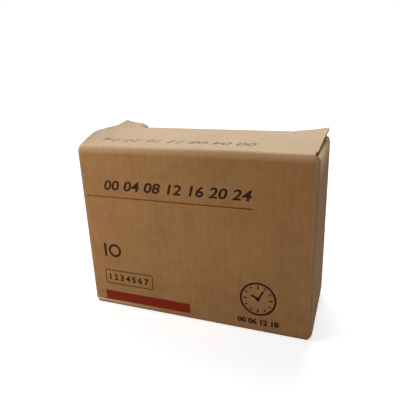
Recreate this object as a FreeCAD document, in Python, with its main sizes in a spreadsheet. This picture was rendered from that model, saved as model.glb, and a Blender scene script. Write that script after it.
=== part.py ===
import FreeCAD, Part
import math
import os
import re
import Sketcher
from FreeCAD import Placement, Rotation, Vector

doc = FreeCAD.newDocument("digital_timer_switch")

# Driving dimensions, in millimetres and degrees. The sheet holds each of them once.
sizes = {
    # folding carton of thin corrugated board
    "board": 1.2,
    "end_space": 6.8,
    "rear_space": 4.3,
    "head_space": 5.9,
    "fold_radius": 2,
    "flap_gap": 0.1,
    "rear_wall_drop": 0.6,
    "glue_flap_width": 10,
    "glue_flap_inset": 6,
    "lid_lift": 2.7,
    "lid_side_inset": 1.4,
    "lid_tab_width": 13,
    "lid_slit": 0.5,
    "lid_tab_length": 7,
    "lid_puff": 3.3,
    "lid_puff_rear": 2,
    "lid_left_tab_rise": 1.65,
    "lid_left_tab_wear": 1.4,
    "lid_right_tab_rise": 1.6,
    "tuck_length": 10,
    "tuck_lean": 12,
    "tuck_taper": 4,
    "tuck_wall_gap": 0.6,
    "dust_flap_length": 28,
    "dust_flap_taper": 0.5,
    "dust_front_gap": 2.6,
    "dust_rear_gap": 2.9,
    "dust_neck": 9,
    # folded instruction leaflet
    "leaflet_width": 30,
    "leaflet_height": 58,
    "leaf": 0.35,
    "leaf_gap": 0.25,
    "leaflet_wall_gap": 0.3,
    "leaflet_lift": 0.3,
    # timer as a whole, lying on the rail side
    "timer_length": 86,
    "timer_width": 35,
    "timer_front_gap": 0.3,
    "timer_lift": 0.1,
    "housing_wall": 1.8,
    "split_height": 28,
    "shoulder_rise": 18,
    "nose_length": 45,
    "nose_rise": 19,
    "face_wall": 2,
    "lip_height": 3,
    "lip_wall": 1.2,
    "lip_gap": 0.1,
    "housing_round": 1.2,
    # groove for the mounting rail and the latch that closes it
    "rail_width": 35,
    "rail_play": 0.4,
    "rail_slot_depth": 5.5,
    "rail_lip_reach": 1.5,
    "rail_lip_wall": 1.5,
    "rail_lip_level": 2.6,
    "latch_width": 12,
    "latch_tab": 3,
    "latch_rib": 1,
    "latch_play": 0.1,
    "latch_floor": 0.2,
    # terminals
    "terminal_inset": 7.5,
    "cage_wall_gap": 1.9,
    "two_pitch": 14,
    "cage_length": 8,
    "cage_gap": 0.6,
    "cage_height": 9.2,
    "cage_wall": 1.1,
    "cage_floor": 1.4,
    "cage_roof": 1.6,
    "cage_lift": 1.8,
    "plate_thick": 1,
    "plate_gap": 0.1,
    "plate_side_gap": 0.4,
    "plate_leg": 1,
    "plate_leg_gap": 1.5,
    "screw_shank": 3.4,
    "screw_play": 0.05,
    "screw_head": 5.8,
    "screw_head_height": 2.6,
    "screw_sink": 3.1,
    "screw_slot": 0.9,
    "screw_slot_depth": 1.2,
    "screw_tunnel": 6.4,
    "wire_entry_gap": 0.1,
    "partition": 1.2,
    # boards
    "power_board_level": 12,
    "board_thick": 1.6,
    "board_edge_gap": 0.3,
    "post_side": 4,
    "board_rib": 1.5,
    "board_rib_width": 6,
    # display
    "lens_centre": 10.5,
    "lens_length": 18,
    "lens_margin": 3,
    "lens_ledge": 1.5,
    "lens_thick": 1,
    "lens_play": 0.15,
    "lens_sink": 0.1,
    "glass_thick": 2.3,
    "glass_gap": 0.1,
    "strip_thick": 2,
    "strip_inset": 0.6,
    # buttons
    "button_row_one": -4,
    "button_row_two": -15,
    "button_margin": 2.5,
    "button_side": 5.4,
    "button_stand": 1,
    "button_round": 0.6,
    "button_play": 0.15,
    "button_flange": 0.8,
    "button_flange_reach": 0.8,
    "button_flange_gap": 0.1,
    "button_stem": 3,
    "button_travel": 0.7,
    "stem_dome_gap": 0.1,
    "mat_thick": 0.7,
    "dome_height": 1.1,
    "dome_foot": 2.2,
    "dome_top": 1.3,
    "reset_button": 1.8,
    "small_column": -9.5,
    "led_diameter": 3,
    "led_play": 0.2,
    "led_stand": 0.4,
    # parts on the display board
    "chip_side": 9,
    "chip_thick": 1.5,
    "crystal_diameter": 2,
    "crystal_length": 6,
    "crystal_place": 13,
    "battery_diameter": 11.6,
    "battery_thick": 5.4,
    "battery_x": -12,
    "battery_wall_gap": 1.9,
    "clip_thick": 0.7,
    "clip_width": 4,
    "clip_play": 0.3,
    "header_x": -5,
    "header_wall_gap": 3.2,
    "header_length": 9,
    "header_thick": 2.4,
    "header_block": 2.5,
    "pin_side": 0.6,
    "pin_pitch": 2,
    # parts on the power board
    "relay_length": 28,
    "relay_width": 12.5,
    "relay_height": 16,
    "relay_leg_gap": 3,
    "relay_wall_gap": 2.2,
    "relay_wall": 0.8,
    "relay_base_height": 2,
    "relay_gap": 0.1,
    "coil_length": 14,
    "coil_radius": 4.2,
    "coil_flange": 4.8,
    "coil_flange_thick": 1,
    "coil_level": 7.5,
    "core_radius": 1.8,
    "core_end": 0.6,
    "yoke_thick": 1,
    "armature_gap": 0.9,
    "armature_thick": 1,
    "armature_width": 7,
    "contact_width": 2.5,
    "contact_blade": 0.4,
    "contact_radius": 1,
    "contact_height": 0.6,
    "contact_level": 4.8,
    "contact_post": 0.8,
    "film_length": 18,
    "film_width": 8,
    "film_height": 14,
    "film_x": 2,
    "film_wall_gap": 2.7,
    "filter_diameter": 8,
    "filter_height": 12,
    "filter_x": -12,
    "filter_wall_gap": 3.7,
    "varistor_diameter": 9,
    "varistor_thick": 4,
    "varistor_x": -21,
    "varistor_wall_gap": 2.2,
}

# Sizes that follow from those above: the carton is cut to fit the timer.
derived = {
    "shoulder_height": "(split_height + shoulder_rise)",
    "face_height": "(shoulder_height + nose_rise)",
    "timer_level": "(2 * board + flap_gap + timer_lift)",
    "carton_length": "(timer_length + 2 * (end_space + board))",
    "carton_depth": "(timer_width + timer_front_gap + rear_space + 2 * board)",
    "carton_height": "(timer_level + face_height + button_stand + head_space + 2 * board + flap_gap)",
    "inner_length": "(timer_length / 2 - housing_wall)",
    "inner_width": "(timer_width / 2 - housing_wall)",
    "lens_width": "(timer_width - 2 * lens_margin)",
    "cage_width": "((2 * inner_width - 2 * cage_wall_gap - 2 * partition - 4 * cage_gap) / 3)",
    "three_pitch": "(cage_width + 2 * cage_gap + partition)",
    "plate_width": "(cage_width - 2 * cage_wall - 2 * plate_side_gap)",
    "wire_entry_width": "(cage_width - 2 * cage_wall - 2 * wire_entry_gap)",
    "button_pitch": "((timer_width - 2 * button_margin) / 3)",
    "small_offset": "(button_pitch / 2)",
    "cage_level": "(split_height + cage_lift)",
    "screw_head_level": "(shoulder_height - screw_sink)",
    "terminal_place": "(timer_length / 2 - terminal_inset)",
    "leg_place": "(terminal_place - cage_length / 2 - plate_leg_gap)",
    "battery_y": "(inner_width - battery_diameter / 2 - battery_wall_gap)",
    "relay_x": "(leg_place - plate_leg - relay_leg_gap - relay_length)",
    "relay_y": "(inner_width - relay_wall_gap - relay_width)",
    "film_y": "(film_wall_gap - inner_width)",
    "header_y": "(header_wall_gap - inner_width + header_length / 2)",
    "filter_y": "(filter_wall_gap - inner_width + filter_diameter / 2)",
    "varistor_y": "(varistor_wall_gap - inner_width + varistor_diameter / 2)",
}

sheet = doc.addObject("Spreadsheet::Sheet", "size")
for row, (name, value) in enumerate(sizes.items(), start=1):
    sheet.set(f"A{row}", name)
    sheet.set(f"B{row}", str(value))
    sheet.setAlias(f"B{row}", name)
doc.recompute()
at = {name: float(sheet.get(name)) for name in sizes}

sub_parts = []
along = {"x": Rotation(Vector(0, 1, 0), 90), "y": Rotation(Vector(1, 0, 0), -90), "z": Rotation()}
plane_across = {"x": Rotation(Vector(1, 1, 1), 120), "y": Rotation(Vector(1, 0, 0), 90)}


def formula(text):
    """Points each size that the text names at its cell of the sheet, and spells out each derived one."""

    def spell(word):
        name = word[0]
        if name in derived:
            return formula(derived[name])
        return f"size.{name}" if name in sizes else name

    return re.sub(r"[a-z_]+", spell, text)


def bind(obj, prop, text):
    obj.setExpression(prop, formula(text))


def both(half):
    """The span from minus to plus a formula."""
    return f"-({half})", half


def about(middle, width):
    """The span of a width about its middle."""
    return f"{middle} - ({width}) / 2", f"{middle} + ({width}) / 2"


def turned(sign, span):
    """The span as it is, or mirrored about zero where the sign is negative."""
    low, high = span
    return (low, high) if sign > 0 else (f"-({high})", f"-({low})")


def block(x, y, z):
    """A box that runs over one span along each axis."""
    obj = doc.addObject("Part::Box", "block")
    for (low, high), length, axis in ((x, "Length", "x"), (y, "Width", "y"), (z, "Height", "z")):
        bind(obj, length, f"({high}) - ({low})")
        bind(obj, f"Placement.Base.{axis}", low)
    return obj


def rod(axis, centre, span, radius):
    """A cylinder along an axis, its centre given by the other two coordinates in order."""
    obj = doc.addObject("Part::Cylinder", "rod")
    obj.Placement = Placement(Vector(), along[axis])
    bind(obj, "Radius", radius)
    bind(obj, "Height", f"({span[1]}) - ({span[0]})")
    others = [name for name in "xyz" if name != axis]
    for name, place in zip(others, centre):
        bind(obj, f"Placement.Base.{name}", place)
    bind(obj, f"Placement.Base.{axis}", span[0])
    return obj


def fuse(pieces):
    obj = doc.addObject("Part::MultiFuse", "joined")
    obj.Shapes = pieces
    obj.Refine = True
    return obj


def cut(base, tools):
    obj = doc.addObject("Part::Cut", "trimmed")
    obj.Base = base
    obj.Tool = tools[0] if len(tools) == 1 else fuse(tools)
    obj.Refine = True
    return obj


def new_body(name):
    return doc.addObject("PartDesign::Body", name)


def sketch_at(body, level):
    """A sketch that lies flat at a height above the body's own base plane."""
    sketch = body.newObject("Sketcher::SketchObject", "sketch")
    plane = next(item for item in body.Origin.OriginFeatures if item.Role == "XY_Plane")
    sketch.AttachmentSupport = [(plane, "")]
    sketch.MapMode = "FlatFace"
    bind(sketch, "AttachmentOffset.Base.z", level)
    return sketch


def hold(sketch, kind, places, text):
    """Adds one constraint and binds its value to a formula."""
    index = sketch.addConstraint(Sketcher.Constraint(kind, *places, 1.0))
    bind(sketch, f"Constraints[{index}]", text)


def outline(sketch, points):
    """A closed outline through points whose coordinates are formulas."""
    count = len(points)
    first = sketch.GeometryCount
    turns = [math.tau * i / count for i in range(count)]
    corners = [Vector(math.cos(turn), math.sin(turn), 0) for turn in turns]
    for i in range(count):
        sketch.addGeometry(Part.LineSegment(corners[i], corners[(i + 1) % count]), False)
    for i in range(count):
        sketch.addConstraint(Sketcher.Constraint("Coincident", first + i, 2, first + (i + 1) % count, 1))
    for i, (x, y) in enumerate(points):
        hold(sketch, "DistanceX", (-1, 1, first + i, 1), x)
        hold(sketch, "DistanceY", (-1, 1, first + i, 1), y)


def rectangle(sketch, x, y):
    outline(sketch, [(x[0], y[0]), (x[1], y[0]), (x[1], y[1]), (x[0], y[1])])


def circle(sketch, x, y, radius):
    index = sketch.addGeometry(Part.Circle(Vector(), Vector(0, 0, 1), 1), False)
    hold(sketch, "DistanceX", (-1, 1, index, 3), x)
    hold(sketch, "DistanceY", (-1, 1, index, 3), y)
    hold(sketch, "Radius", (index,), radius)


def pad(body, sketch, length):
    feature = body.newObject("PartDesign::Pad", "pad")
    feature.Profile = sketch
    bind(feature, "Length", length)
    return feature


def pocket(body, sketch, depth):
    """Cuts down from the sketch."""
    feature = body.newObject("PartDesign::Pocket", "pocket")
    feature.Profile = sketch
    bind(feature, "Length", depth)
    return feature


def upright(edge):
    return isinstance(edge.Curve, Part.Line) and abs(abs(edge.Curve.Direction.z) - 1) < 1e-6


def at_top(edge):
    top = max(vertex.Z for vertex in edge.Vertexes)
    return abs(top - min(vertex.Z for vertex in edge.Vertexes)) < 1e-6


def round_off(body, feature, radius, chosen):
    """Rounds the edges of a feature that the test picks."""
    doc.recompute()
    names = [f"Edge{i}" for i, edge in enumerate(feature.Shape.Edges, start=1) if chosen(edge)]
    fillet = body.newObject("PartDesign::Fillet", "rounding")
    fillet.Base = (feature, names)
    bind(fillet, "Radius", radius)
    return fillet


def keep(obj, label):
    """Names a finished piece. Its label is the name of its file."""
    obj.Label = label
    sub_parts.append(obj)
    return obj


# The carton. Its folds are round, and a flap turns about the middle of its fold's outer face,
# so that flap and wall never cut into each other and lie in one plane when the flap stands up.
half_length = "carton_length / 2"
half_depth = "carton_depth / 2"
fold_reach = "fold_radius * cos(45 deg)"
fold_rise = "(fold_radius - fold_radius * cos(45 deg))"
side_fold = "(carton_height - board - flap_gap)"
hinge_y = f"({fold_rise} - carton_depth / 2)"
lid_reach = f"(carton_depth - board - tuck_wall_gap - {fold_rise})"
tab_start_x = "(carton_length / 2 - lid_side_inset - lid_tab_width)"
tab_start_y = f"({lid_reach} - lid_tab_length)"
fold_span_x = both(f"{half_length} - fold_radius")
fold_span_y = both(f"{half_depth} - fold_radius")


def fold(axis, centre, span, start, angle):
    """Bent board: part of a ring about an axis. Angles count from +Y about X, and from +X about -Y."""
    rings = []
    for radius in ("fold_radius", "fold_radius - board"):
        sector = doc.addObject("Part::Cylinder", "fold")
        sector.Placement = Placement(Vector(), plane_across[axis] * Rotation(Vector(0, 0, 1), start))
        bind(sector, "Radius", radius)
        bind(sector, "Height", f"({span[1]}) - ({span[0]})")
        bind(sector, "Angle", angle)
        places = (span[0], centre[0], centre[1]) if axis == "x" else (centre[0], span[1], centre[1])
        for name, place in zip("xyz", places):
            bind(sector, f"Placement.Base.{name}", place)
        rings.append(sector)
    return cut(rings[0], [rings[1]])


def carton_tube():
    low = "2 * board + flap_gap - board + fold_radius"
    high = f"{side_fold} - fold_radius"
    walls = new_body("walls")
    outer = sketch_at(walls, low)
    rectangle(outer, both(half_length), both(half_depth))
    block_of_walls = pad(walls, outer, f"{high} - ({low})")
    round_off(walls, block_of_walls, "fold_radius", upright)
    inner = sketch_at(walls, high)
    rectangle(inner, both(f"{half_length} - board"), both(f"{half_depth} - board"))
    pocket(walls, inner, f"{high} - ({low})")
    front = (f"-({half_depth})", f"board - {half_depth}")
    rear = (f"{half_depth} - board", half_depth)
    pieces = [
        walls,
        block(fold_span_x, front, (high, "carton_height - fold_radius")),
        block(fold_span_x, front, ("fold_radius", low)),
        block(fold_span_x, rear, (high, "carton_height - rear_wall_drop")),
        block(fold_span_x, rear, ("0", low)),
    ]
    front_centre = f"fold_radius - {half_depth}"
    pieces.append(fold("x", (front_centre, "carton_height - fold_radius"), fold_span_x, 135, "45"))
    pieces.append(fold("x", (front_centre, "fold_radius"), fold_span_x, 180, "45"))
    for side, top_start, bottom_start in ((-1, 135, 180), (1, 0, 315)):
        centre_x = f"{side} * ({half_length} - fold_radius)"
        pieces.append(fold("y", (centre_x, high), fold_span_y, top_start, "45"))
        pieces.append(fold("y", (centre_x, low), fold_span_y, bottom_start, "45"))
    glue_x = (f"board - {half_length}", f"board - {half_length} + glue_flap_width")
    glue_y = (f"{half_depth} - 2 * board", f"{half_depth} - board")
    pieces.append(block(glue_x, glue_y, ("glue_flap_inset", "carton_height - glue_flap_inset")))
    keep(fuse(pieces), "carton_tube")


def lid_height(side, across, back, tab):
    """How far a corner of the lid stands up: shares run from the crease outwards and backwards."""
    if side < 0:
        puff = at["lid_puff"] * math.sin(math.pi / 2 * min(back / lid_puff_peak, 1))
        puff -= (at["lid_puff"] - at["lid_puff_rear"]) * max(0, back - lid_puff_peak) / (1 - lid_puff_peak)
        tab_rise = at["lid_left_tab_rise"] * tab * min(1, tab_root_share + tab_root_slope * across)
        return puff * across ** 2 + tab_rise
    return at["lid_right_tab_rise"] * back ** 3 * across ** 1.5


lid_puff_peak = 0.38
tab_root_share = 0.15
tab_root_slope = 4
across_shares = [0, 0.12, 0.26, 0.42, 0.58, 0.74, 0.88, 1]
back_shares = [0, 0.12, 0.26, 0.44, 0.62, 0.8, 1]
tab_shares = [0.2, 0.45, 0.72, 1]


def lid_corner(side):
    """The end of the lid beyond the slit, curled up, as a closed skin of small flat faces."""
    half_length_now = at["timer_length"] / 2 + at["end_space"] + at["board"]
    depth_now = at["timer_width"] + at["timer_front_gap"] + at["rear_space"] + 2 * at["board"]
    start_y = at["fold_radius"] * math.cos(math.radians(45))
    top = at["fold_radius"] - start_y
    reach = depth_now - at["board"] - at["tuck_wall_gap"] - top
    tab_y = reach - at["lid_tab_length"]
    end_x = half_length_now - at["lid_side_inset"]
    root_x = end_x - at["lid_tab_width"]
    crease_end = half_length_now - at["fold_radius"]
    rows = [start_y + (tab_y - start_y) * share for share in back_shares]
    rows += [tab_y + (reach - tab_y) * share for share in tab_shares]
    upper = []
    for y in rows:
        back = (y - start_y) / (reach - start_y)
        tab = max(0, (y - tab_y) / (reach - tab_y))
        wear = at["lid_left_tab_wear"] * tab if side < 0 else 0
        outer_x = min(end_x - wear, crease_end + (y - start_y) / 4)
        line = []
        for across in across_shares:
            x = side * (root_x + (outer_x - root_x) * across)
            line.append(Vector(x, y, top + lid_height(side, across, back, tab)))
        upper.append(line)
    lower = [[point - Vector(0, 0, at["board"]) for point in line] for line in upper]
    faces = []

    def triangle(a, b, c):
        faces.append(Part.Face(Part.makePolygon([a, b, c, a])))

    def strip(first, second):
        for i in range(len(first) - 1):
            triangle(first[i], first[i + 1], second[i + 1])
            triangle(first[i], second[i + 1], second[i])

    for grid in (upper, lower):
        for i in range(len(grid) - 1):
            strip(grid[i], grid[i + 1])
    strip(upper[0], lower[0])
    strip(upper[-1], lower[-1])
    strip([line[0] for line in upper], [line[0] for line in lower])
    strip([line[-1] for line in upper], [line[-1] for line in lower])
    solid = Part.makeSolid(Part.makeShell(faces))
    if solid.Volume < 0:
        solid.reverse()
    corner = doc.addObject("Part::Feature", "lid_corner")
    corner.Shape = solid
    return corner


def lid(label, up, corners):
    """A closing panel in its own frame, with the hinge line as origin."""
    plate = turned(up, (f"{fold_rise} - board", fold_rise))
    wide = both(tab_start_x)
    narrow = both(f"{tab_start_x} - lid_slit")
    rear_centre = (f"{lid_reach} - fold_radius", f"{up} * ({fold_rise} - fold_radius)")
    front_centre = (fold_reach, f"{-up} * {fold_reach}")
    pieces = [
        block(wide, (fold_reach, tab_start_y), plate),
        block(narrow, (tab_start_y, f"{lid_reach} - fold_radius"), plate),
        fold("x", front_centre, fold_span_x, 90 if up > 0 else 225, "45"),
        fold("x", rear_centre, narrow, 45 if up > 0 else 270, "45"),
    ]
    pieces += corners
    obj = fuse(pieces)
    obj.Placement = Placement(Vector(), Rotation(Vector(1, 0, 0), 0))
    bind(obj, "Placement.Base.y", hinge_y)
    if up > 0:
        obj.Placement = Placement(Vector(), Rotation(Vector(1, 0, 0), at["lid_lift"]))
        bind(obj, "Placement.Rotation.Angle", "lid_lift")
    bind(obj, "Placement.Base.z", f"carton_height - {fold_rise}" if up > 0 else fold_rise)
    keep(obj, label)


def tuck_flap(label, up):
    """The flap that slips in behind the rear wall, leaning inwards by its lean."""
    half = f"{tab_start_x} - lid_slit"
    origin = ("0", "0")
    bend = fold("x", origin, both(half), 0, "45 + tuck_lean") if up > 0 else None
    if bend is None:
        bend = fold("x", origin, both(half), -45 - at["tuck_lean"], "45 + tuck_lean")
    plate = new_body("plate")
    tip = "tuck_length - fold_radius"
    face = sketch_at(plate, "0")
    rectangle(face, both(half), ("fold_radius - board", "fold_radius"))
    slab = pad(plate, face, tip)
    slab.Reversed = up > 0
    corner = []
    for side in (-1, 1):
        knife = new_body("knife")
        view = sketch_at(knife, "0")
        outline(view, [
            (f"{side} * ({half})", "0"),
            (f"{side} * ({half})", f"{-up} * ({tip})"),
            (f"{side} * ({half} - tuck_taper)", f"{-up} * ({tip})"),
        ])
        knife_pad = pad(knife, view, "2 * fold_radius")
        knife_pad.Reversed = True
        knife.Placement = Placement(Vector(), Rotation(Vector(1, 0, 0), 90))
        corner.append(knife)
    obj = cut(fuse([bend, plate]), corner)
    lift = "lid_lift" if up > 0 else "0"
    reach = f"({lid_reach} - fold_radius)"
    drop = f"({up} * ({fold_rise} - fold_radius))"
    obj.Placement = Placement(Vector(), Rotation(Vector(-up, 0, 0), at["tuck_lean"]))
    bind(obj, "Placement.Rotation.Angle", f"tuck_lean - {lift}")
    bind(obj, "Placement.Base.y", f"{hinge_y} + {reach} * cos({lift} * 1 deg) - {drop} * sin({lift} * 1 deg)")
    level = f"carton_height - {fold_rise}" if up > 0 else fold_rise
    bind(obj, "Placement.Base.z", f"{level} + {reach} * sin({lift} * 1 deg) + {drop} * cos({lift} * 1 deg)")
    keep(obj, label)


def dust_flap(label, side, up):
    """A side flap that lies under the lid, cut away towards the lid's fold so that both can open."""
    flap = new_body("flap")
    face = sketch_at(flap, f"{up} * {fold_rise}")
    end = "dust_flap_length"
    front_end = f"{hinge_y} + dust_front_gap + dust_flap_taper * dust_flap_length"
    neck = f"{fold_reach} + dust_neck"
    rear = f"{half_depth} - board - dust_rear_gap"
    points = [
        (fold_reach, fold_span_y[0]),
        (end, front_end),
        (end, f"{rear} - 1"),
        (f"{end} - 1", rear),
        (neck, rear),
        (f"{neck} - 1", fold_span_y[1]),
        (fold_reach, fold_span_y[1]),
    ]
    outline(face, [(f"{-side} * ({x})", y) for x, y in points])
    plate = pad(flap, face, "board")
    plate.Reversed = up > 0
    centre = (f"{-side} * {fold_reach}", f"{-up} * {fold_reach}")
    start = {(-1, 1): 90, (1, 1): 45, (-1, -1): 225, (1, -1): 270}[side, up]
    obj = fuse([flap, fold("y", centre, fold_span_y, start, "45")])
    bind(obj, "Placement.Base.x", f"{side} * ({half_length} - {fold_rise})")
    top = f"{side_fold} - {fold_rise}"
    bottom = f"board + flap_gap + {fold_rise}"
    bind(obj, "Placement.Base.z", top if up > 0 else bottom)
    keep(obj, label)


def flat_corner(side):
    x = turned(side, (tab_start_x, f"{half_length} - lid_side_inset"))
    return block(x, (fold_reach, lid_reach), turned(-1, (f"{fold_rise} - board", fold_rise)))


def leaflet():
    """Printed paper folded in three, standing between timer and wall."""
    outer = "(carton_length / 2 - board - leaflet_wall_gap)"
    low = "2 * board + flap_gap + leaflet_lift"
    y = both("leaflet_width / 2")
    z = (low, f"{low} + leaflet_height")
    pieces = []
    for i in range(3):
        high_x = f"{outer} - {i} * (leaf + leaf_gap)"
        pieces.append(block((f"{high_x} - leaf", high_x), y, z))
    for i, end in ((0, 1), (1, -1)):
        high_x = f"{outer} - {i} * (leaf + leaf_gap)"
        bend_y = turned(end, ("leaflet_width / 2", "leaflet_width / 2 + leaf"))
        pieces.append(block((f"{high_x} - 2 * leaf - leaf_gap", high_x), bend_y, z))
    keep(fuse(pieces), "instruction_leaflet")


carton_tube()
lid("lid_panel", 1, [lid_corner(-1), lid_corner(1)])
tuck_flap("tuck_flap", 1)
dust_flap("dust_flap_left", -1, 1)
dust_flap("dust_flap_right", 1, 1)
lid("bottom_panel", -1, [flat_corner(-1), flat_corner(1)])
tuck_flap("bottom_tuck_flap", -1)
dust_flap("bottom_dust_flap_left", -1, -1)
dust_flap("bottom_dust_flap_right", 1, -1)
leaflet()

# The timer, in its own frame: the mounting rail runs along Y under it, and the buttons face up.
timer_y = "board - carton_depth / 2 + timer_front_gap + timer_width / 2"
timer_z = "timer_level"
half_timer = "timer_length / 2"
half_width = "timer_width / 2"
inner_x = "inner_length"
inner_y = "inner_width"
nose_inner = "(nose_length / 2 - housing_wall)"
floor_level = "rail_slot_depth + housing_wall"
half_rail = "(rail_width + rail_play) / 2"
lip_top = "rail_lip_level + rail_lip_wall"
ceiling = "(face_height - face_wall)"
glass_bottom = f"({ceiling} - glass_gap - glass_thick)"
board_top = f"({glass_bottom} - strip_thick)"
board_bottom = f"({board_top} - board_thick)"
power_top = "(power_board_level + board_thick)"
wire_floor = "(cage_level + cage_floor)"
plate_top = "(cage_level + cage_height - cage_roof - plate_gap)"
terminal_x = "terminal_place"
button_rows = ("button_row_one", "button_row_two")
button_columns = ("-button_pitch", "0", "button_pitch")
terminals = [(1, "-three_pitch"), (1, "0"), (1, "three_pitch"), (-1, "-two_pitch / 2"), (-1, "two_pitch / 2")]
over = "5"


def seat(obj, label):
    """Keeps a piece of the timer, moved from the timer's frame to its place in the carton."""
    bind(obj, "Placement.Base.y", timer_y)
    bind(obj, "Placement.Base.z", timer_z)
    return keep(obj, label)


def rear_housing():
    shell = new_body("rear_shell")
    base = sketch_at(shell, "0")
    rectangle(base, both(half_timer), both(half_width))
    solid = pad(shell, base, "split_height")
    round_off(shell, solid, "housing_round", upright)
    top = sketch_at(shell, "split_height")
    rectangle(top, both(inner_x), both(inner_y))
    pocket(shell, top, f"split_height - ({floor_level})")
    across = both(f"{half_width} + {over}")
    latch_half = "latch_width / 2 + latch_play"
    channel_x = (f"-({half_timer}) - {over}", f"-({half_rail}) + latch_play")
    rib_z = ("rail_lip_level - latch_rib - latch_play", "rail_lip_level + latch_play")
    groove = block(both(half_rail), across, (f"-({over})", "rail_slot_depth"))
    channel = block(channel_x, both(latch_half), (f"-({over})", f"{lip_top} + latch_play"))
    rib_way = block(channel_x, both(f"{latch_half} + latch_rib"), rib_z)
    hollow_x = (f"{half_rail} + housing_wall", inner_x)
    hollow = block(hollow_x, both(inner_y), ("housing_wall", "split_height"))
    trimmed = cut(shell, [groove, channel, rib_way, hollow])
    pieces = [trimmed]
    lip_x = (f"{half_rail} - rail_lip_reach", half_rail)
    pieces.append(block(lip_x, both(half_width), ("rail_lip_level", lip_top)))
    for side in (-1, 1):
        for end in (-1, 1):
            post_x = turned(side, (f"{inner_x} - post_side", inner_x))
            post_y = turned(end, (f"{inner_y} - post_side", inner_y))
            post_foot = "housing_wall" if side > 0 else floor_level
            pieces.append(block(post_x, post_y, (post_foot, "power_board_level")))
    seat(fuse(pieces), "rear_housing")


def front_housing():
    shell = new_body("front_shell")
    low = sketch_at(shell, "split_height")
    rectangle(low, both(half_timer), both(half_width))
    pad(shell, low, "shoulder_height - split_height")
    high = sketch_at(shell, "shoulder_height")
    rectangle(high, both("nose_length / 2"), both(half_width))
    nose = pad(shell, high, "face_height - shoulder_height")
    doc.recompute()
    face_edge = nose.Shape.BoundBox.ZMax

    def outer_edge(edge):
        corner = upright(edge) and edge.BoundBox.XLength < 1e-6
        return corner or (at_top(edge) and abs(edge.BoundBox.ZMax - face_edge) < 1e-6)

    round_off(shell, nose, "housing_round", outer_edge)
    hollow = [
        block(both(inner_x), both(inner_y), (f"split_height - {over}", "shoulder_height - housing_wall")),
        block(both(nose_inner), both(inner_y), (f"shoulder_height - {over}", ceiling)),
    ]
    pieces = [cut(shell, hollow)]
    lip_x = f"{inner_x} - lip_gap"
    lip_y = f"{inner_y} - lip_gap"
    lip_z = ("split_height - lip_height", "split_height + lip_wall")
    lip = fuse([
        block(both(lip_x), both(lip_y), lip_z),
        block(both(inner_x), both(inner_y), ("split_height", "split_height + lip_wall")),
    ])
    bore_z = (f"split_height - {over}", "shoulder_height")
    lip_bore = block(both(f"{lip_x} - lip_wall"), both(f"{lip_y} - lip_wall"), bore_z)
    pieces.append(cut(lip, [lip_bore]))
    wall_z = ("split_height", "shoulder_height - housing_wall")
    wall_x = (f"{terminal_x} - cage_length / 2 - plate_leg_gap / 2", inner_x)
    for side, middle in ((1, "-three_pitch / 2"), (1, "three_pitch / 2"), (-1, "0")):
        pieces.append(block(turned(side, wall_x), about(middle, "partition"), wall_z))
    for side in (-1, 1):
        rib_x = turned(side, (f"{nose_inner} - board_rib", nose_inner))
        rib_z = (f"{board_bottom} - board_rib", board_bottom)
        pieces.append(block(rib_x, both("board_rib_width / 2"), rib_z))
    lens_z = "face_height - lens_thick - lens_sink"
    through = (f"{ceiling} - 1", f"face_height + {over}")
    tools = [
        block(about("lens_centre", "lens_length"), both("lens_width / 2"), (lens_z, f"face_height + {over}")),
        block(
            about("lens_centre", "lens_length - 2 * lens_ledge"),
            both("lens_width / 2 - lens_ledge"),
            through,
        ),
        rod("z", ("small_column", "small_offset"), through, "reset_button / 2 + button_play"),
        rod("z", ("small_column", "-small_offset"), through, "led_diameter / 2 + led_play"),
    ]
    for row in button_rows:
        for column in button_columns:
            hole = "button_side + 2 * button_play"
            tools.append(block(about(row, hole), about(column, hole), through))
    tunnel = ("shoulder_height - housing_wall - 1", f"shoulder_height + {over}")
    for side, y in terminals:
        tools.append(rod("z", (f"{side} * {terminal_x}", y), tunnel, "screw_tunnel / 2"))
        entry_x = turned(side, (f"{inner_x} - 0.2", f"{half_timer} + {over}"))
        tools.append(block(entry_x, about(y, "wire_entry_width"), (wire_floor, f"{plate_top} - plate_thick")))
    seat(cut(fuse(pieces), tools), "front_housing")


def rail_latch():
    half = "latch_width / 2"
    tab = f"-({half_timer}) - latch_tab"
    body_x = (tab, f"-({half_rail}) - latch_play")
    rib_z = ("rail_lip_level - latch_rib", "rail_lip_level")
    pieces = [
        block(body_x, both(half), ("latch_floor", lip_top)),
        block((tab, f"rail_lip_reach - {half_rail}"), both(half), ("rail_lip_level", lip_top)),
        block((f"-({half_timer})", f"-({half_rail}) - latch_play"), both(f"{half} + latch_rib"), rib_z),
    ]
    pry_x = (f"{tab} + latch_tab / 3", f"{tab} + 5 * latch_tab / 6")
    pry = block(pry_x, both("latch_width / 4"), (f"-({over})", f"{lip_top} + {over}"))
    seat(cut(fuse(pieces), [pry]), "rail_latch")


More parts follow.
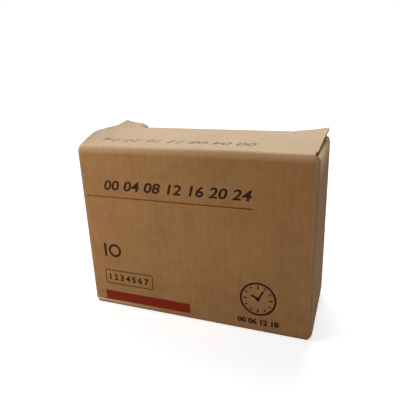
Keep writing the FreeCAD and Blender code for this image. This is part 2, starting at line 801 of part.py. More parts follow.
def terminal(number, side, y):
    """One screw terminal: a cage that climbs its screw and pulls the wire up against a fixed plate."""
    middle = f"{side} * {terminal_x}"
    cage = new_body("cage")
    foot = sketch_at(cage, "cage_level")
    rectangle(foot, about(middle, "cage_length"), about(y, "cage_width"))
    pad(cage, foot, "cage_height")
    roof_level = "cage_level + cage_height"
    roof = sketch_at(cage, roof_level)
    circle(roof, middle, y, "screw_shank / 2 + screw_play")
    pocket(cage, roof, "cage_roof + 1")
    window = block(
        about(middle, f"cage_length + {over}"),
        about(y, "cage_width - 2 * cage_wall"),
        (wire_floor, f"{roof_level} - cage_roof"),
    )
    seat(cut(cage, [window]), f"terminal_cage_{number}")
    leg_end = "leg_place"
    width = about(y, "plate_width")
    plate_x = turned(side, (f"{leg_end} - plate_leg", f"{terminal_x} + cage_length / 2 - plate_leg / 2"))
    leg_x = turned(side, (f"{leg_end} - plate_leg", leg_end))
    plate = fuse([
        block(plate_x, width, (f"{plate_top} - plate_thick", plate_top)),
        block(leg_x, width, (power_top, plate_top)),
    ])
    seat(plate, f"terminal_plate_{number}")
    shank = rod("z", (middle, y), (f"{plate_top} + 2 * plate_gap", "screw_head_level"), "screw_shank / 2")
    head_top = "screw_head_level + screw_head_height"
    head = rod("z", (middle, y), ("screw_head_level", head_top), "screw_head / 2")
    slot_z = (f"{head_top} - screw_slot_depth", f"shoulder_height + {over}")
    slot = block(about(middle, f"screw_head + {over}"), about(y, "screw_slot"), slot_z)
    seat(cut(fuse([shank, head]), [slot]), f"terminal_screw_{number}")


def display():
    lens_z = "face_height - lens_thick - lens_sink"
    lens = block(
        about("lens_centre", "lens_length - 2 * lens_play"),
        both("lens_width / 2 - lens_play"),
        (lens_z, f"{lens_z} + lens_thick"),
    )
    seat(group([lens]), "display_lens")
    glass_x = about("lens_centre", "lens_length - 4 * lens_play")
    glass_z = (glass_bottom, f"{glass_bottom} + glass_thick")
    glass = block(glass_x, both("lens_width / 2 - 2 * lens_play"), glass_z)
    seat(group([glass]), "display_glass")
    strips = []
    for side in (-1, 1):
        outer = "lens_length / 2 - 2 * lens_play - strip_inset"
        low, high = turned(side, (f"{outer} - strip_thick", outer))
        strip_x = (f"lens_centre + {low}", f"lens_centre + {high}")
        strips.append(block(strip_x, both("lens_width / 2 - lens_ledge"), (board_top, glass_bottom)))
    seat(group(strips), "contact_strips")


def group(pieces):
    """Solids held together so that they move as one piece."""
    obj = doc.addObject("Part::Compound", "group")
    obj.Links = pieces
    return obj


def button(label, row, column):
    """A square cap on a flange that can't pass the hole, over a short stem."""
    body = new_body(label)
    flange_top = f"{ceiling} - button_flange_gap"
    stem_foot = f"{board_top} + mat_thick + dome_height + button_travel + stem_dome_gap"
    wide = "button_side + 2 * button_flange_reach"
    foot = sketch_at(body, stem_foot)
    circle(foot, row, column, "button_stem / 2")
    pad(body, foot, f"{flange_top} - button_flange - ({stem_foot})")
    flange = sketch_at(body, f"{flange_top} - button_flange")
    rectangle(flange, about(row, wide), about(column, wide))
    pad(body, flange, "button_flange")
    cap = sketch_at(body, flange_top)
    rectangle(cap, about(row, "button_side"), about(column, "button_side"))
    tall = pad(body, cap, f"face_height + button_stand - ({flange_top})")
    doc.recompute()
    peak = tall.Shape.BoundBox.ZMax

    def cap_edge(edge):
        return at_top(edge) and abs(edge.BoundBox.ZMax - peak) < 1e-6

    round_off(body, tall, "button_round", cap_edge)
    seat(body, label)


def reset_button():
    flange_top = f"{ceiling} - button_flange_gap"
    stem_foot = f"{board_top} + mat_thick + dome_height + button_travel + stem_dome_gap"
    place = ("small_column", "small_offset")
    pin = rod("z", place, (stem_foot, "face_height - 2 * button_flange_gap"), "reset_button / 2")
    flange_z = (f"{flange_top} - button_flange", flange_top)
    flange = rod("z", place, flange_z, "reset_button / 2 + button_flange_reach / 2")
    seat(fuse([pin, flange]), "reset_button")


def key_mat():
    edge = f"-({nose_inner}) + board_edge_gap"
    end = "lens_centre - lens_length / 2 - lens_ledge"
    top = f"{board_top} + mat_thick"
    pieces = [block((edge, end), both(f"{inner_y} - board_edge_gap"), (board_top, top))]
    places = [(row, column) for row in button_rows for column in button_columns]
    places.append(("small_column", "small_offset"))
    for x, y in places:
        dome = doc.addObject("Part::Cone", "dome")
        bind(dome, "Radius1", "dome_foot" if y != "small_offset" else "dome_top")
        bind(dome, "Radius2", "dome_top" if y != "small_offset" else "reset_button / 2")
        bind(dome, "Height", "dome_height")
        bind(dome, "Placement.Base.x", x)
        bind(dome, "Placement.Base.y", y)
        bind(dome, "Placement.Base.z", top)
        pieces.append(dome)
    hole_z = (f"{board_top} - 1", f"{top} + 1")
    hole = rod("z", ("small_column", "-small_offset"), hole_z, "led_diameter / 2 + 2 * led_play")
    seat(cut(fuse(pieces), [hole]), "key_mat")


def display_board():
    board = new_body("display_board")
    face = sketch_at(board, board_bottom)
    rectangle(face, both(f"{nose_inner} - board_edge_gap"), both(f"{inner_y} - board_edge_gap"))
    pad(board, face, "board_thick")
    seat(board, "display_board")
    led = rod("z", ("small_column", "-small_offset"), (board_top, "face_height"), "led_diameter / 2")
    dome = doc.addObject("Part::Cone", "dome")
    bind(dome, "Radius1", "led_diameter / 2")
    bind(dome, "Radius2", "led_diameter / 4")
    bind(dome, "Height", "led_stand")
    bind(dome, "Placement.Base.x", "small_column")
    bind(dome, "Placement.Base.y", "-small_offset")
    bind(dome, "Placement.Base.z", "face_height")
    seat(fuse([led, dome]), "indicator_led")
    chip = block(("0", "chip_side"), both("chip_side / 2"), (f"{board_bottom} - chip_thick", board_bottom))
    seat(group([chip]), "control_chip")
    crystal_z = f"{board_bottom} - crystal_diameter / 2"
    crystal = rod("y", ("crystal_place", crystal_z), both("crystal_length / 2"), "crystal_diameter / 2")
    seat(group([crystal]), "quartz_crystal")


def battery():
    top = f"({board_bottom} - clip_thick)"
    cell = rod("z", ("battery_x", "battery_y"), (f"{top} - battery_thick", top), "battery_diameter / 2")
    seat(group([cell]), "backup_battery")
    outer = "battery_x - battery_diameter / 2 - clip_play"
    y = about("battery_y", "clip_width")
    inner_end = "battery_x + battery_diameter / 4"
    under = f"{top} - battery_thick"
    clip = fuse([
        block((f"{outer} - clip_thick", inner_end), y, (top, board_bottom)),
        block((f"{outer} - clip_thick", outer), y, (f"{under} - clip_thick", board_bottom)),
        block((f"{outer} - clip_thick", inner_end), y, (f"{under} - clip_thick", under)),
    ])
    seat(clip, "battery_clip")


def board_header():
    """The row of long pins that joins both boards."""
    x = about("header_x", "header_thick")
    y = about("header_y", "header_length")
    pieces = [
        block(x, y, (power_top, f"{power_top} + header_block")),
        block(x, y, (f"{board_bottom} - header_block", board_bottom)),
    ]
    for i in range(-2, 3):
        pin_y = about(f"header_y + {i} * pin_pitch", "pin_side")
        pieces.append(block(about("header_x", "pin_side"), pin_y, (power_top, board_bottom)))
    seat(fuse(pieces), "board_header")


def power_board():
    board = new_body("power_board")
    face = sketch_at(board, "power_board_level")
    rectangle(face, both(f"{inner_x} - board_edge_gap"), both(f"{inner_y} - board_edge_gap"))
    pad(board, face, "board_thick")
    seat(board, "power_board")
    film_x = ("film_x", "film_x + film_length")
    film_y = ("film_y", "film_y + film_width")
    seat(group([block(film_x, film_y, (power_top, f"{power_top} + film_height"))]), "film_capacitor")
    can_z = (power_top, f"{power_top} + filter_height")
    can = rod("z", ("filter_x", "filter_y"), can_z, "filter_diameter / 2")
    seat(group([can]), "filter_capacitor")
    disc_z = f"{power_top} + varistor_diameter / 2"
    disc_x = ("varistor_x", "varistor_x + varistor_thick")
    seat(group([rod("x", ("varistor_y", disc_z), disc_x, "varistor_diameter / 2")]), "surge_varistor")


def relay():
    """The relay that switches the load: coil and core pull the armature, which carries the contact."""
    low_x = "relay_x"
    high_x = "relay_x + relay_length"
    low_y = "relay_y"
    high_y = "relay_y + relay_width"
    middle = "(relay_y + relay_width / 2)"
    base_top = f"({power_top} + relay_base_height)"
    shell = block((low_x, high_x), (low_y, high_y), (power_top, f"{power_top} + relay_height"))
    room = block(
        (f"{low_x} + relay_wall", f"{high_x} - relay_wall"),
        (f"{low_y} + relay_wall", f"{high_y} - relay_wall"),
        (f"{power_top} - 1", f"{power_top} + relay_height - relay_wall"),
    )
    seat(cut(shell, [room]), "relay_cover")
    inset = "relay_wall + relay_gap"
    base_x = (f"{low_x} + {inset}", f"{high_x} - ({inset})")
    base_y = (f"{low_y} + {inset}", f"{high_y} - ({inset})")
    base = block(base_x, base_y, (power_top, base_top))
    seat(group([base]), "relay_base")
    axis_z = f"({power_top} + coil_level)"
    coil_low = f"({low_x} + {inset} + relay_wall + yoke_thick)"
    coil_high = f"({coil_low} + coil_length)"
    core_tip = f"({coil_high} + core_end)"
    centre = (middle, axis_z)
    coil = fuse([
        rod("x", centre, (coil_low, coil_high), "coil_radius"),
        rod("x", centre, (coil_low, f"{coil_low} + coil_flange_thick"), "coil_flange"),
        rod("x", centre, (f"{coil_high} - coil_flange_thick", coil_high), "coil_flange"),
        rod("x", centre, (coil_low, core_tip), "core_radius"),
    ])
    seat(coil, "relay_coil")
    yoke_low = f"({axis_z} + coil_flange + relay_gap)"
    yoke_top = f"({yoke_low} + yoke_thick)"
    pivot_x = f"({core_tip} + armature_gap)"
    plate_y = about(middle, "armature_width")
    yoke = fuse([
        block((f"{coil_low} - yoke_thick", coil_low), plate_y, (base_top, yoke_top)),
        block((f"{coil_low} - yoke_thick", f"{pivot_x} - relay_gap"), plate_y, (yoke_low, yoke_top)),
    ])
    seat(yoke, "relay_yoke")
    arm_foot = f"({base_top} + relay_base_height / 4)"
    armature = block((pivot_x, f"{pivot_x} + armature_thick"), plate_y, (arm_foot, yoke_top))
    seat(group([armature]), "relay_armature")
    blade_x = f"({pivot_x} + armature_thick)"
    tip_z = f"({power_top} + contact_level)"
    blade_y = about(middle, "contact_width")
    moving = fuse([
        block((blade_x, f"{blade_x} + contact_blade"), blade_y, (arm_foot, f"{axis_z} + contact_radius")),
        rod("x", (middle, tip_z), (blade_x, f"{blade_x} + contact_blade + contact_height"), "contact_radius"),
    ])
    seat(moving, "relay_moving_contact")
    face_x = f"({blade_x} + contact_blade + contact_height + relay_gap)"
    post_x = f"({face_x} + contact_height)"
    fixed = fuse([
        rod("x", (middle, tip_z), (face_x, post_x), "contact_radius"),
        block((post_x, f"{post_x} + contact_post"), blade_y, (base_top, f"{tip_z} + 2 * contact_radius")),
    ])
    seat(fixed, "relay_fixed_contact")


rear_housing()
front_housing()
rail_latch()
for number, (side, y) in enumerate(terminals, start=1):
    terminal(number, side, y)
display()
key_mat()
names = ("clock_button", "program_button", "manual_button", "day_button", "hour_button", "minute_button")
for label, (row, column) in zip(names, [(row, column) for row in button_rows for column in button_columns]):
    button(label, row, column)
reset_button()
display_board()
battery()
board_header()
power_board()
relay()

doc.recompute()
for obj in doc.Objects:
    if "Invalid" in obj.State or "Error" in obj.State:
        raise RuntimeError(f"{obj.Label} did not build")
for obj in sub_parts:
    if obj.Shape.isNull() or not obj.Shape.isValid():
        raise RuntimeError(f"{obj.Label} has no sound shape")

os.makedirs("parts", exist_ok=True)
for obj in sub_parts:
    obj.Shape.exportStep(f"parts/{obj.Label}.step")
print(len(sub_parts), "sub-parts written")
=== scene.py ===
import bpy
import bmesh
import numpy as np
from mathutils import Matrix, Vector


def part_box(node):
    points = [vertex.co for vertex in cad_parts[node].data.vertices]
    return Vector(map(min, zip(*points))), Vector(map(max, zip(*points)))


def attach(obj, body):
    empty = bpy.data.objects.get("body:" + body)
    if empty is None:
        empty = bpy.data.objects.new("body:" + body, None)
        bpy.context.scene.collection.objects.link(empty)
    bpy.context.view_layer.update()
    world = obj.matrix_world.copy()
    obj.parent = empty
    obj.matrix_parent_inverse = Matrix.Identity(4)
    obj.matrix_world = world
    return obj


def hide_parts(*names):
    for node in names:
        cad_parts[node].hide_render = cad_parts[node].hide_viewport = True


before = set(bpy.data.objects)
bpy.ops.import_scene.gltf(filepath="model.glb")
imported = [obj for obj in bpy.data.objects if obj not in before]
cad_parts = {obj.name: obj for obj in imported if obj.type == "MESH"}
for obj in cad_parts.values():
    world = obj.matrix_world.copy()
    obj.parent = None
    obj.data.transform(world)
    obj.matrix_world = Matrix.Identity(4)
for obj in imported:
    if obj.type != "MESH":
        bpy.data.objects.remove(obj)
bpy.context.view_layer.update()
mm = 0.001
halfPi = np.pi / 2
root = "carton_with_timer"
print("frame loaded,", len(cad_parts), "CAD nodes")


def link(name, data):
    holder = bpy.data.objects.new(name, data)
    bpy.context.scene.collection.objects.link(holder)
    return holder


# Camera: stands right of the carton and above it, the lid just showing. Its axes are right, up and back
view = {
    "place": (63.12, -165.99, 108.20), "lens": 37.27, "sensor": 36, "clipStart": 0.01,
    "axes": ((0.93330, 0.35702, -0.03851), (-0.07787, 0.30593, 0.94886), (0.35054, -0.88258, 0.31333)),
}


def makeCamera():
    camera = bpy.data.cameras.new("camera")
    camera.lens, camera.sensor_width, camera.clip_start = view["lens"], view["sensor"], view["clipStart"]
    holder = link("camera", camera)
    turn = Matrix(view["axes"]).transposed().to_4x4()
    turn.translation = [part * mm for part in view["place"]]
    holder.matrix_world = turn
    bpy.context.scene.camera = holder


makeCamera()
bpy.context.scene.view_settings.view_transform = "Standard"
print("camera placed")


# Finishes
class Signal:
    # A number that varies over a node tree, for use in sums
    def __init__(self, nodes, socket):
        self.nodes, self.socket = nodes, socket

    def __add__(self, other):
        return self.nodes.maths("ADD", self, other)

    def __sub__(self, other):
        return self.nodes.maths("SUBTRACT", self, other)

    def __mul__(self, other):
        return self.nodes.maths("MULTIPLY", self, other)

    def __abs__(self):
        return self.nodes.maths("ABSOLUTE", self)

    def wave(self, pitch):
        return self.nodes.maths("SINE", self * (2 * np.pi / pitch))

    def spread(self, low, high, toLow=0.0, toHigh=1.0):
        inputs = {"Value": self, "From Min": low, "From Max": high, "To Min": toLow, "To Max": toHigh}
        return Signal(self.nodes, self.nodes.add("MapRange", inputs).outputs[0])

    def over(self, low, high, *to):
        # The same, between two places in millimetres
        return self.spread(low * mm, high * mm, *to)

    def offMiddle(self, pitch):
        # How far from the middle of its pitch, 0 to 0.5
        return abs(self.nodes.maths("FRACT", self * (1 / pitch)) - 0.5)


class Nodes:
    # A node tree under construction: add() makes a node and takes a number, a colour, a signal or another
    # node's output for each of its inputs
    def __init__(self, tree):
        self.tree = tree

    def add(self, kind, inputs=None, **settings):
        node = self.tree.nodes.new("ShaderNode" + kind)
        for name, value in settings.items():
            setattr(node, name, value)
        for key, value in (inputs or {}).items():
            self.feed(node.inputs[key], value)
        return node

    def feed(self, socket, value):
        value = value.socket if isinstance(value, Signal) else value
        if isinstance(value, bpy.types.NodeSocket):
            self.tree.links.new(value, socket)
        else:
            socket.default_value = value

    def maths(self, operation, *values):
        return Signal(self, self.add("Math", dict(enumerate(values)), operation=operation).outputs[0])

    def seen(self):
        # 1 for the camera, straight or through gloss and glass
        rays = self.add("LightPath").outputs
        direct = self.maths("MAXIMUM", rays["Is Camera Ray"], rays["Is Glossy Ray"])
        return self.maths("MAXIMUM", direct, rays["Is Transmission Ray"])


finishes = {}


class Finish(Nodes):
    # A material under construction, kept in finishes
    def __init__(self, name, **constants):
        self.material = finishes[name] = bpy.data.materials.new(name)
        self.material.use_nodes = True
        super().__init__(self.material.node_tree)
        self.shader = self.tree.nodes["Principled BSDF"]
        for socket, value in constants.items():
            self.shader.inputs[socket.replace("_", " ")].default_value = value

    def place(self, scale=(1, 1, 1), source="Object"):
        spot = self.add("TexCoord").outputs[source]
        return self.add("Mapping", {"Vector": spot, "Scale": scale}).outputs["Vector"]

    def axes(self, source="Object"):
        split = self.add("SeparateXYZ", {0: self.place(source=source)})
        return [Signal(self, split.outputs[axis]) for axis in "XYZ"]

    def noise(self, scale, detail=3, rough=0.55, *where):
        inputs = {"Vector": self.place(*where), "Scale": scale, "Detail": detail, "Roughness": rough}
        return Signal(self, self.add("TexNoise", inputs).outputs["Fac"])

    def tint(self, colour, *layers):
        # Lays (share, colour) layers over a colour, one after another
        for share, tone in layers:
            node = self.add("Mix", data_type="RGBA")
            for index, value in ((0, share), (6, colour), (7, tone)):
                self.feed(node.inputs[index], value)
            colour = node.outputs[2]
        return colour

    def paint(self, colour, *layers):
        self.feed(self.shader.inputs["Base Color"], self.tint(colour, *layers))

    def rough(self, signal, low, high):
        self.feed(self.shader.inputs["Roughness"], signal.spread(0, 1, low, high))

    def bump(self, height, distance, strength=1.0):
        node = self.add("Bump", {"Height": height, "Distance": distance, "Strength": strength})
        self.feed(self.shader.inputs["Normal"], node.outputs["Normal"])


def shade(red, green, blue):
    # Linear colour of a paint chip given as 0 to 255
    part = np.array([red, green, blue]) / 255
    linear = np.where(part <= 0.04045, part / 12.92, ((part + 0.055) / 1.055) ** 2.4)
    return (*linear.tolist(), 1.0)


# Board colours. The lid's top three are a paler copy of the walls' base three, painted as the light on the
# lid. In the last row of colours, the first is partly wear and partly a painted highlight, the second is a
# painted highlight and the third is painted shade. The hollow colour is painted shade inside the fluting
kraft = {
    "base": shade(158, 115, 72), "dark": shade(138, 98, 59), "pale": shade(178, 138, 96),
    "top": shade(173, 144, 101), "topDark": shade(158, 124, 86), "topPale": shade(192, 166, 132),
    "inside": shade(172, 132, 90), "hollow": shade(60, 42, 28), "fleck": shade(92, 62, 38),
    "fold": shade(220, 184, 143), "paintedHighlight": shade(250, 214, 170), "paintedShade": shade(70, 46, 30),
    "flutePitch": 3.3,
}
# Where the board is worn and where light and shade are painted on it: ranges in millimetres along one axis,
# some with what they are mapped to
wearAndLight = {
    "onFront": (-18.6, -19.4), "slope": (73.4, 75.7, 0, 0.52), "crest": (75.7, 76.4, 0, 0.26),
    "foldLeft": (14, -12), "foldRight": (20, 44), "wallFoldPale": (0.88, 1.0, 1.75), "lidFoldPale": (0.55, 0.1, 1.0),
    "lidFront": (-19.2, -20.3), "footLevel": 2.3, "footHigh": (0.7, 0.15), "footAlong": (-51, -12, 1.0, 0.0),
    "leftCorner": (-49.5, -50.1), "shadeAlong": (-25, 35), "shadeUp": (12, 58),
    "rightCorner": (49.0, 50.2), "nearCorner": (-18.0, -19.2), "farCorner": (16.8, 18.9),
    "sideFold": (49.2, 49.8), "sideUp": (65, 75), "sideBack": (-10, 14, 1.0, 0.5),
    "sideStart": (-20.4, -18.6, 0.15, 1.0), "onSide": (50.0, 50.7),
    "creaseSlope": 0.57, "creaseLevel": 62.2, "creaseWide": (0.8, 0.2),
    "creaseMiddle": 2, "creaseLong": (8, 5),
}


def foldRub(x, left, middle, right):
    # How pale the lid's fold is along its length, partly as wear and partly as a painted highlight
    atLeft = x.over(*wearAndLight["foldLeft"], 0, left - middle)
    return atLeft + x.over(*wearAndLight["foldRight"], 0, right - middle) + middle


def wallWear(finish, colour):
    # The front wall pales where it turns into the lid and at its foot, partly as wear and partly as a
    # painted highlight, and its right corner pales as a painted highlight; painted shade darkens its left
    # corner, its upper right and the right side's far corner. A painted highlight pales the right side
    # upwards to its fold, and painted shade darkens one slanting crease: |z - slope y - level| small
    x, y, z = finish.axes()
    ranges = "leftCorner", "shadeAlong", "rightCorner", "sideFold", "onSide"
    on = {name: x.over(*wearAndLight[name]) for name in ranges}
    onFront = y.over(*wearAndLight["onFront"])
    high = (z.over(*wearAndLight["slope"]) + z.over(*wearAndLight["crest"])) * foldRub(x, *wearAndLight["wallFoldPale"])
    foot = abs(z - wearAndLight["footLevel"] * mm).over(*wearAndLight["footHigh"]) * x.over(*wearAndLight["footAlong"])
    patchy = finish.noise(330, 4).spread(0.3, 0.65, 0.84, 1)
    rise = finish.maths("POWER", z.over(*wearAndLight["sideUp"]), 1.7)
    pale = rise * y.over(*wearAndLight["sideBack"]) * y.over(*wearAndLight["sideStart"])
    slant = abs(z - y * wearAndLight["creaseSlope"] - wearAndLight["creaseLevel"] * mm).over(*wearAndLight["creaseWide"])
    crease = slant * abs(y - wearAndLight["creaseMiddle"] * mm).over(*wearAndLight["creaseLong"]) * on["onSide"]
    return finish.tint(
        colour,
        # partly wear and partly a painted highlight: the fold into the lid and the foot pale
        ((high + foot) * patchy * onFront, kraft["fold"]),
        # painted shade on the left front corner, which faces away from the light
        (on["leftCorner"] * onFront * 0.55, kraft["paintedShade"]),
        # painted shade: the front darkens towards its upper right
        (on["shadeAlong"] * z.over(*wearAndLight["shadeUp"]) * onFront * 0.42, kraft["dark"]),
        # painted highlight where the right front corner catches the light
        (on["rightCorner"] * y.over(*wearAndLight["nearCorner"]) * 0.4, kraft["fold"]),
        # painted shade on the right side's far corner
        (on["rightCorner"] * y.over(*wearAndLight["farCorner"]) * 0.5, kraft["paintedShade"]),
        # painted highlight: the right side pales upwards to its fold, as if lit from above
        (on["sideFold"] * pale, kraft["paintedHighlight"]),
        # painted shade in the slanting crease
        (crease * 0.38, kraft["paintedShade"]),
    )


def lidWear(finish, colour):
    # The lid pales at its fold, partly as wear and partly as a painted highlight
    x, y, z = finish.axes()
    return finish.tint(colour, (y.over(*wearAndLight["lidFront"]) * foldRub(x, *wearAndLight["lidFoldPale"]), kraft["fold"]))


def kraftFace(name, base, dark, pale, sheen, worn=None):
    # Base colour clouded by wide noise, streaked by fibres and flecked, over the faint waves of the fluting:
    # height = sin(2 pi u / pitch)
    finish = Finish(name, Specular_IOR_Level=sheen)
    blotches = finish.noise(260, 3).spread(0.3, 0.7)
    fibres = finish.noise(900, 4, 0.7, (1, 1, 0.16)).spread(0.42, 0.68)
    across = finish.noise(900, 4, 0.7, (0.16, 1, 1)).spread(0.45, 0.7)
    clouds, flecks = finish.noise(45, 4).spread(0.35, 0.65), finish.noise(1500, 2).spread(0.7, 0.76)
    colour = finish.tint(
        kraft[base], (clouds * 0.5, kraft[dark]), (blotches * 0.3, kraft[pale]),
        (fibres * 0.16, kraft[dark]), (across * 0.12, kraft[pale]), (flecks * 0.4, kraft["fleck"]))
    # The last layers, where given, are the board's wear and its painted light and shade
    finish.paint(worn(finish, colour) if worn else colour)
    finish.rough(blotches, 0.52, 0.66)
    flutes = finish.axes("UV")[0].wave(kraft["flutePitch"] * mm)
    finish.bump(flutes * 0.35 + fibres * 0.5 + finish.noise(120, 3) * 2.2, 0.00006, 0.6)


def kraftCut():
    # Two liners with the fluting between them: fluting where |v - (0.5 + 0.36 sin(2 pi u / pitch))| < 0.1,
    # and painted shade in the hollows between
    finish = Finish("kraftCut", Roughness=0.85, Specular_IOR_Level=0.2)
    u, v = finish.axes("UV")[:2]
    flutes = u.wave(kraft["flutePitch"] * mm) * 0.36 + 0.5
    paper = finish.maths("MAXIMUM", abs(v - flutes).spread(0.1, 0.2, 1, 0), abs(v - 0.5).spread(0.34, 0.4))
    fuzz = finish.noise(1400, 3).spread(0.3, 0.7, 0.75, 1)
    # painted shade in the hollows, with the liners and flutes over it
    finish.paint(kraft["hollow"], (paper * fuzz, kraft["inside"]))
    finish.bump(paper, 0.0002, 0.8)


kraftFace("kraftOutside", "base", "dark", "pale", 0.012, wallWear)
# The lid's board is painted paler than the walls' to stand for the light on it, and has more sheen
kraftFace("kraftLitTop", "top", "topDark", "topPale", 0.3, lidWear)
kraftFace("kraftInside", "inside", "base", "pale", 0.1)
kraftCut()
print("board finishes made")


# Meshes
def boxOf(name):
    # Low corner, high corner and middle of a CAD node's box, in millimetres
    low, high = np.array(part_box(name)) / mm
    return low, high, (low + high) / 2


def stack(*parts):
    # Points from coordinates that may be numbers, rows, columns or whole grids
    return np.stack(np.broadcast_arrays(*parts), axis=-1)


def tangents(path, closed=False):
    ahead = np.roll(path, -1, axis=0) - np.roll(path, 1, axis=0) if closed else np.gradient(path, axis=0)
    return ahead / np.linalg.norm(ahead, axis=1)[:, None]


def wayAlong(path):
    return np.concatenate([[0], np.cumsum(np.linalg.norm(np.diff(path, axis=0), axis=1))])


def showMesh(name, parts, materials, slot, node=None, body=root, sharp=40):
    # Parts are (points in millimetres, faces, uv per face corner or None, material number per face or None).
    # The piece takes the place of the CAD's node. Its edges are sharp from an angle on, and all of them at 0
    points, faces, uvs, slots = [], [], [], []
    start = 0
    for partPoints, partFaces, uv, numbers in parts:
        points.append(np.asarray(partPoints, dtype=float).reshape(-1, 3))
        faces += [[start + int(corner) for corner in face] for face in partFaces]
        start += len(points[-1])
        corners = sum(len(face) for face in partFaces)
        uvs.append(np.zeros((corners, 2)) if uv is None else np.asarray(uv).reshape(-1, 2))
        slots.append(np.zeros(len(partFaces)) if numbers is None else np.asarray(numbers))
    mesh = bpy.data.meshes.new(name)
    mesh.from_pydata((np.concatenate(points) * mm).tolist(), [], faces)
    mesh.uv_layers.new(name="UVMap").data.foreach_set("uv", np.concatenate(uvs).astype(np.float32).ravel())
    for material in materials:
        mesh.materials.append(finishes[material])
    mesh.polygons.foreach_set("material_index", np.concatenate(slots).astype(np.int32))
    if sharp:
        mesh.shade_smooth()
        mesh.set_sharp_from_angle(angle=np.radians(sharp))
    mesh.update()
    piece = link(name, mesh)
    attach(piece, body)
    if node:
        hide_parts(node)
    return piece


def boardFaces(outer, inner, flat, keep=None, closed=0.0, turnOver=False, folds=None):
    # Closes a sheet of board: cell (i, j) of the grid is used where keep is true, and every cell edge
    # without a neighbour gets a cut face from the outer to the inner surface. closed is the way round, in
    # metres, and folds marks the cells, side by side, where the board goes on past a fold: no fluting there
    rows, columns = outer.shape[:2]
    count = rows * columns
    index = np.arange(count).reshape(rows, columns)
    near, far = (index, np.roll(index, -1, axis=0)) if closed else (index[:-1], index[1:])
    keep = np.ones((len(near), columns - 1), dtype=bool) if keep is None else keep
    quads = stack(near[:, :-1], far[:, :-1], far[:, 1:], near[:, 1:])
    cellUv = flat.reshape(count, 2)[quads]
    padded = np.pad(keep, 1)
    if closed:
        cellUv[-1, :, 1:3, 0] = closed
        padded[0, 1:-1], padded[-1, 1:-1] = keep[-1], keep[0]
    sides = (padded[1:-1, :-2], padded[2:, 1:-1], padded[1:-1, 2:], padded[:-2, 1:-1])
    faces = [quads[keep], quads[keep][:, ::-1] + count]
    uv = [cellUv[keep], cellUv[keep][:, ::-1]]
    slots = [np.repeat([0, 1], len(faces[0]))]
    for side, neighbour in enumerate(sides):
        edge, following = keep & ~neighbour, (side + 1) % 4
        p, q = quads[edge][:, side], quads[edge][:, following]
        start = cellUv[edge][:, side, 0]
        stop = start if side % 2 else cellUv[edge][:, following, 0]
        faces.append(stack(q, p, p + count, q + count))
        uv.append(stack(stack(stop, start, start, stop), [0, 0, 1, 1]))
        folded = np.broadcast_to((folds or {}).get(side, False), keep.shape)
        slots.append(np.where(folded[edge], 1, 2))
    faces, uv = np.concatenate(faces), np.concatenate(uv)
    if turnOver:
        faces, uv = faces[:, ::-1], uv[:, ::-1]
    points = np.concatenate([outer.reshape(count, 3), inner.reshape(count, 3)])
    used, compact = np.unique(faces, return_inverse=True)
    return points[used], compact.reshape(faces.shape), uv, np.concatenate(slots)


# Carton: its folds are round, and each flap turns about the middle of its fold
carton = {
    "board": 1.2, "fold": 2.0, "height": 77.0, "lidLift": 2.7, "wallSag": 0.16, "printSink": 0.05,
    "sinkEase": 2, "sideFoldGap": 0.1, "rearRimGap": 0.014, "tuckLean": 12.0, "tuckTaper": 4.0,
    "tuckHang": 8.0, "glueWide": 10, "glueInset": 6, "glueGap": 0.3,
    "foldSteps": 9, "cornerSteps": 8, "wallSteps": (66, 26, 66, 26), "roundSteps": 6, "riseSteps": 48,
}
tubeLow, tubeHigh = boxOf("carton_tube")[:2]
halfX, halfY = tubeHigh[:2]
board, foldR = carton["board"], carton["fold"]
foldReach = foldR * np.cos(np.pi / 4)
foldRise = foldR - foldReach
hingeY = foldRise - halfY
hingeZ = carton["height"] - foldRise
sideFoldZ = carton["height"] - board - carton["sideFoldGap"]
ringLow = foldR + board + carton["sideFoldGap"]
ringHigh = sideFoldZ - foldR
wallCentreZ = carton["height"] / 2
boardFinish = ["kraftOutside", "kraftInside", "kraftCut"]
topFinish = ["kraftLitTop", "kraftInside", "kraftCut"]


def frontSag(x, z):
    # How far the front and rear walls sink in: a flat share for the print, and a bow that fades to the folds
    ease = carton["sinkEase"]
    ends = np.clip((z - foldR) / ease, 0, 1) * np.clip((carton["height"] - foldR - z) / ease, 0, 1)
    bow = np.cos(halfPi * np.clip(x / halfX, -1, 1)) * np.cos(halfPi * np.clip(z / wallCentreZ - 1, -1, 1))
    return ends * (carton["printSink"] + carton["wallSag"] * bow)


def wallRing():
    # Outline seen from above: four straight walls joined by quarter rounds, as (place, normal, way, wall)
    a, b = halfX - foldR, halfY - foldR
    corners = np.array([(-a, -b), (a, -b), (a, b), (-a, b)])
    places, normals, walls = [], [], []
    for number, steps in enumerate(carton["wallSteps"]):
        angle = (number - 1) * halfPi
        normal = np.round([np.cos(angle), np.sin(angle)], 9)
        corner = corners[(number + 1) % 4]
        start, stop = corners[number] + foldR * normal, corner + foldR * normal
        turn = angle + halfPi * np.arange(carton["roundSteps"]) / carton["roundSteps"]
        ring = stack(np.cos(turn), np.sin(turn))
        places += [start + (stop - start) * (np.arange(steps) / steps)[:, None], corner + foldR * ring]
        normals += [np.tile(normal, (steps, 1)), ring]
        walls += [number] * steps + [-1] * len(ring)
    place = np.concatenate(places)
    way = wayAlong(np.vstack([place, place[:1]]))
    return place, np.concatenate(normals), way[:-1], way[-1], np.array(walls)


def wallEnd(normal, share, level, up, frontFlat, rearFlat):
    # A wall's end past the ring: a straight stretch, then an eighth of a round towards the inside. Round a
    # corner the straight stretch runs out with the square of the normal's share of the front or rear
    front, rear = (np.clip(sign * normal[:, 1], 0, 1) ** 2 for sign in (-1, 1))
    straight = (frontFlat * front + rearFlat * rear)[:, None]
    distance = share * (straight + foldR * (np.pi / 4 * (1 - rear))[:, None])
    turn = np.maximum(distance - straight, 0) / foldR
    return level + up * (np.minimum(distance, straight) + foldR * np.sin(turn)), turn


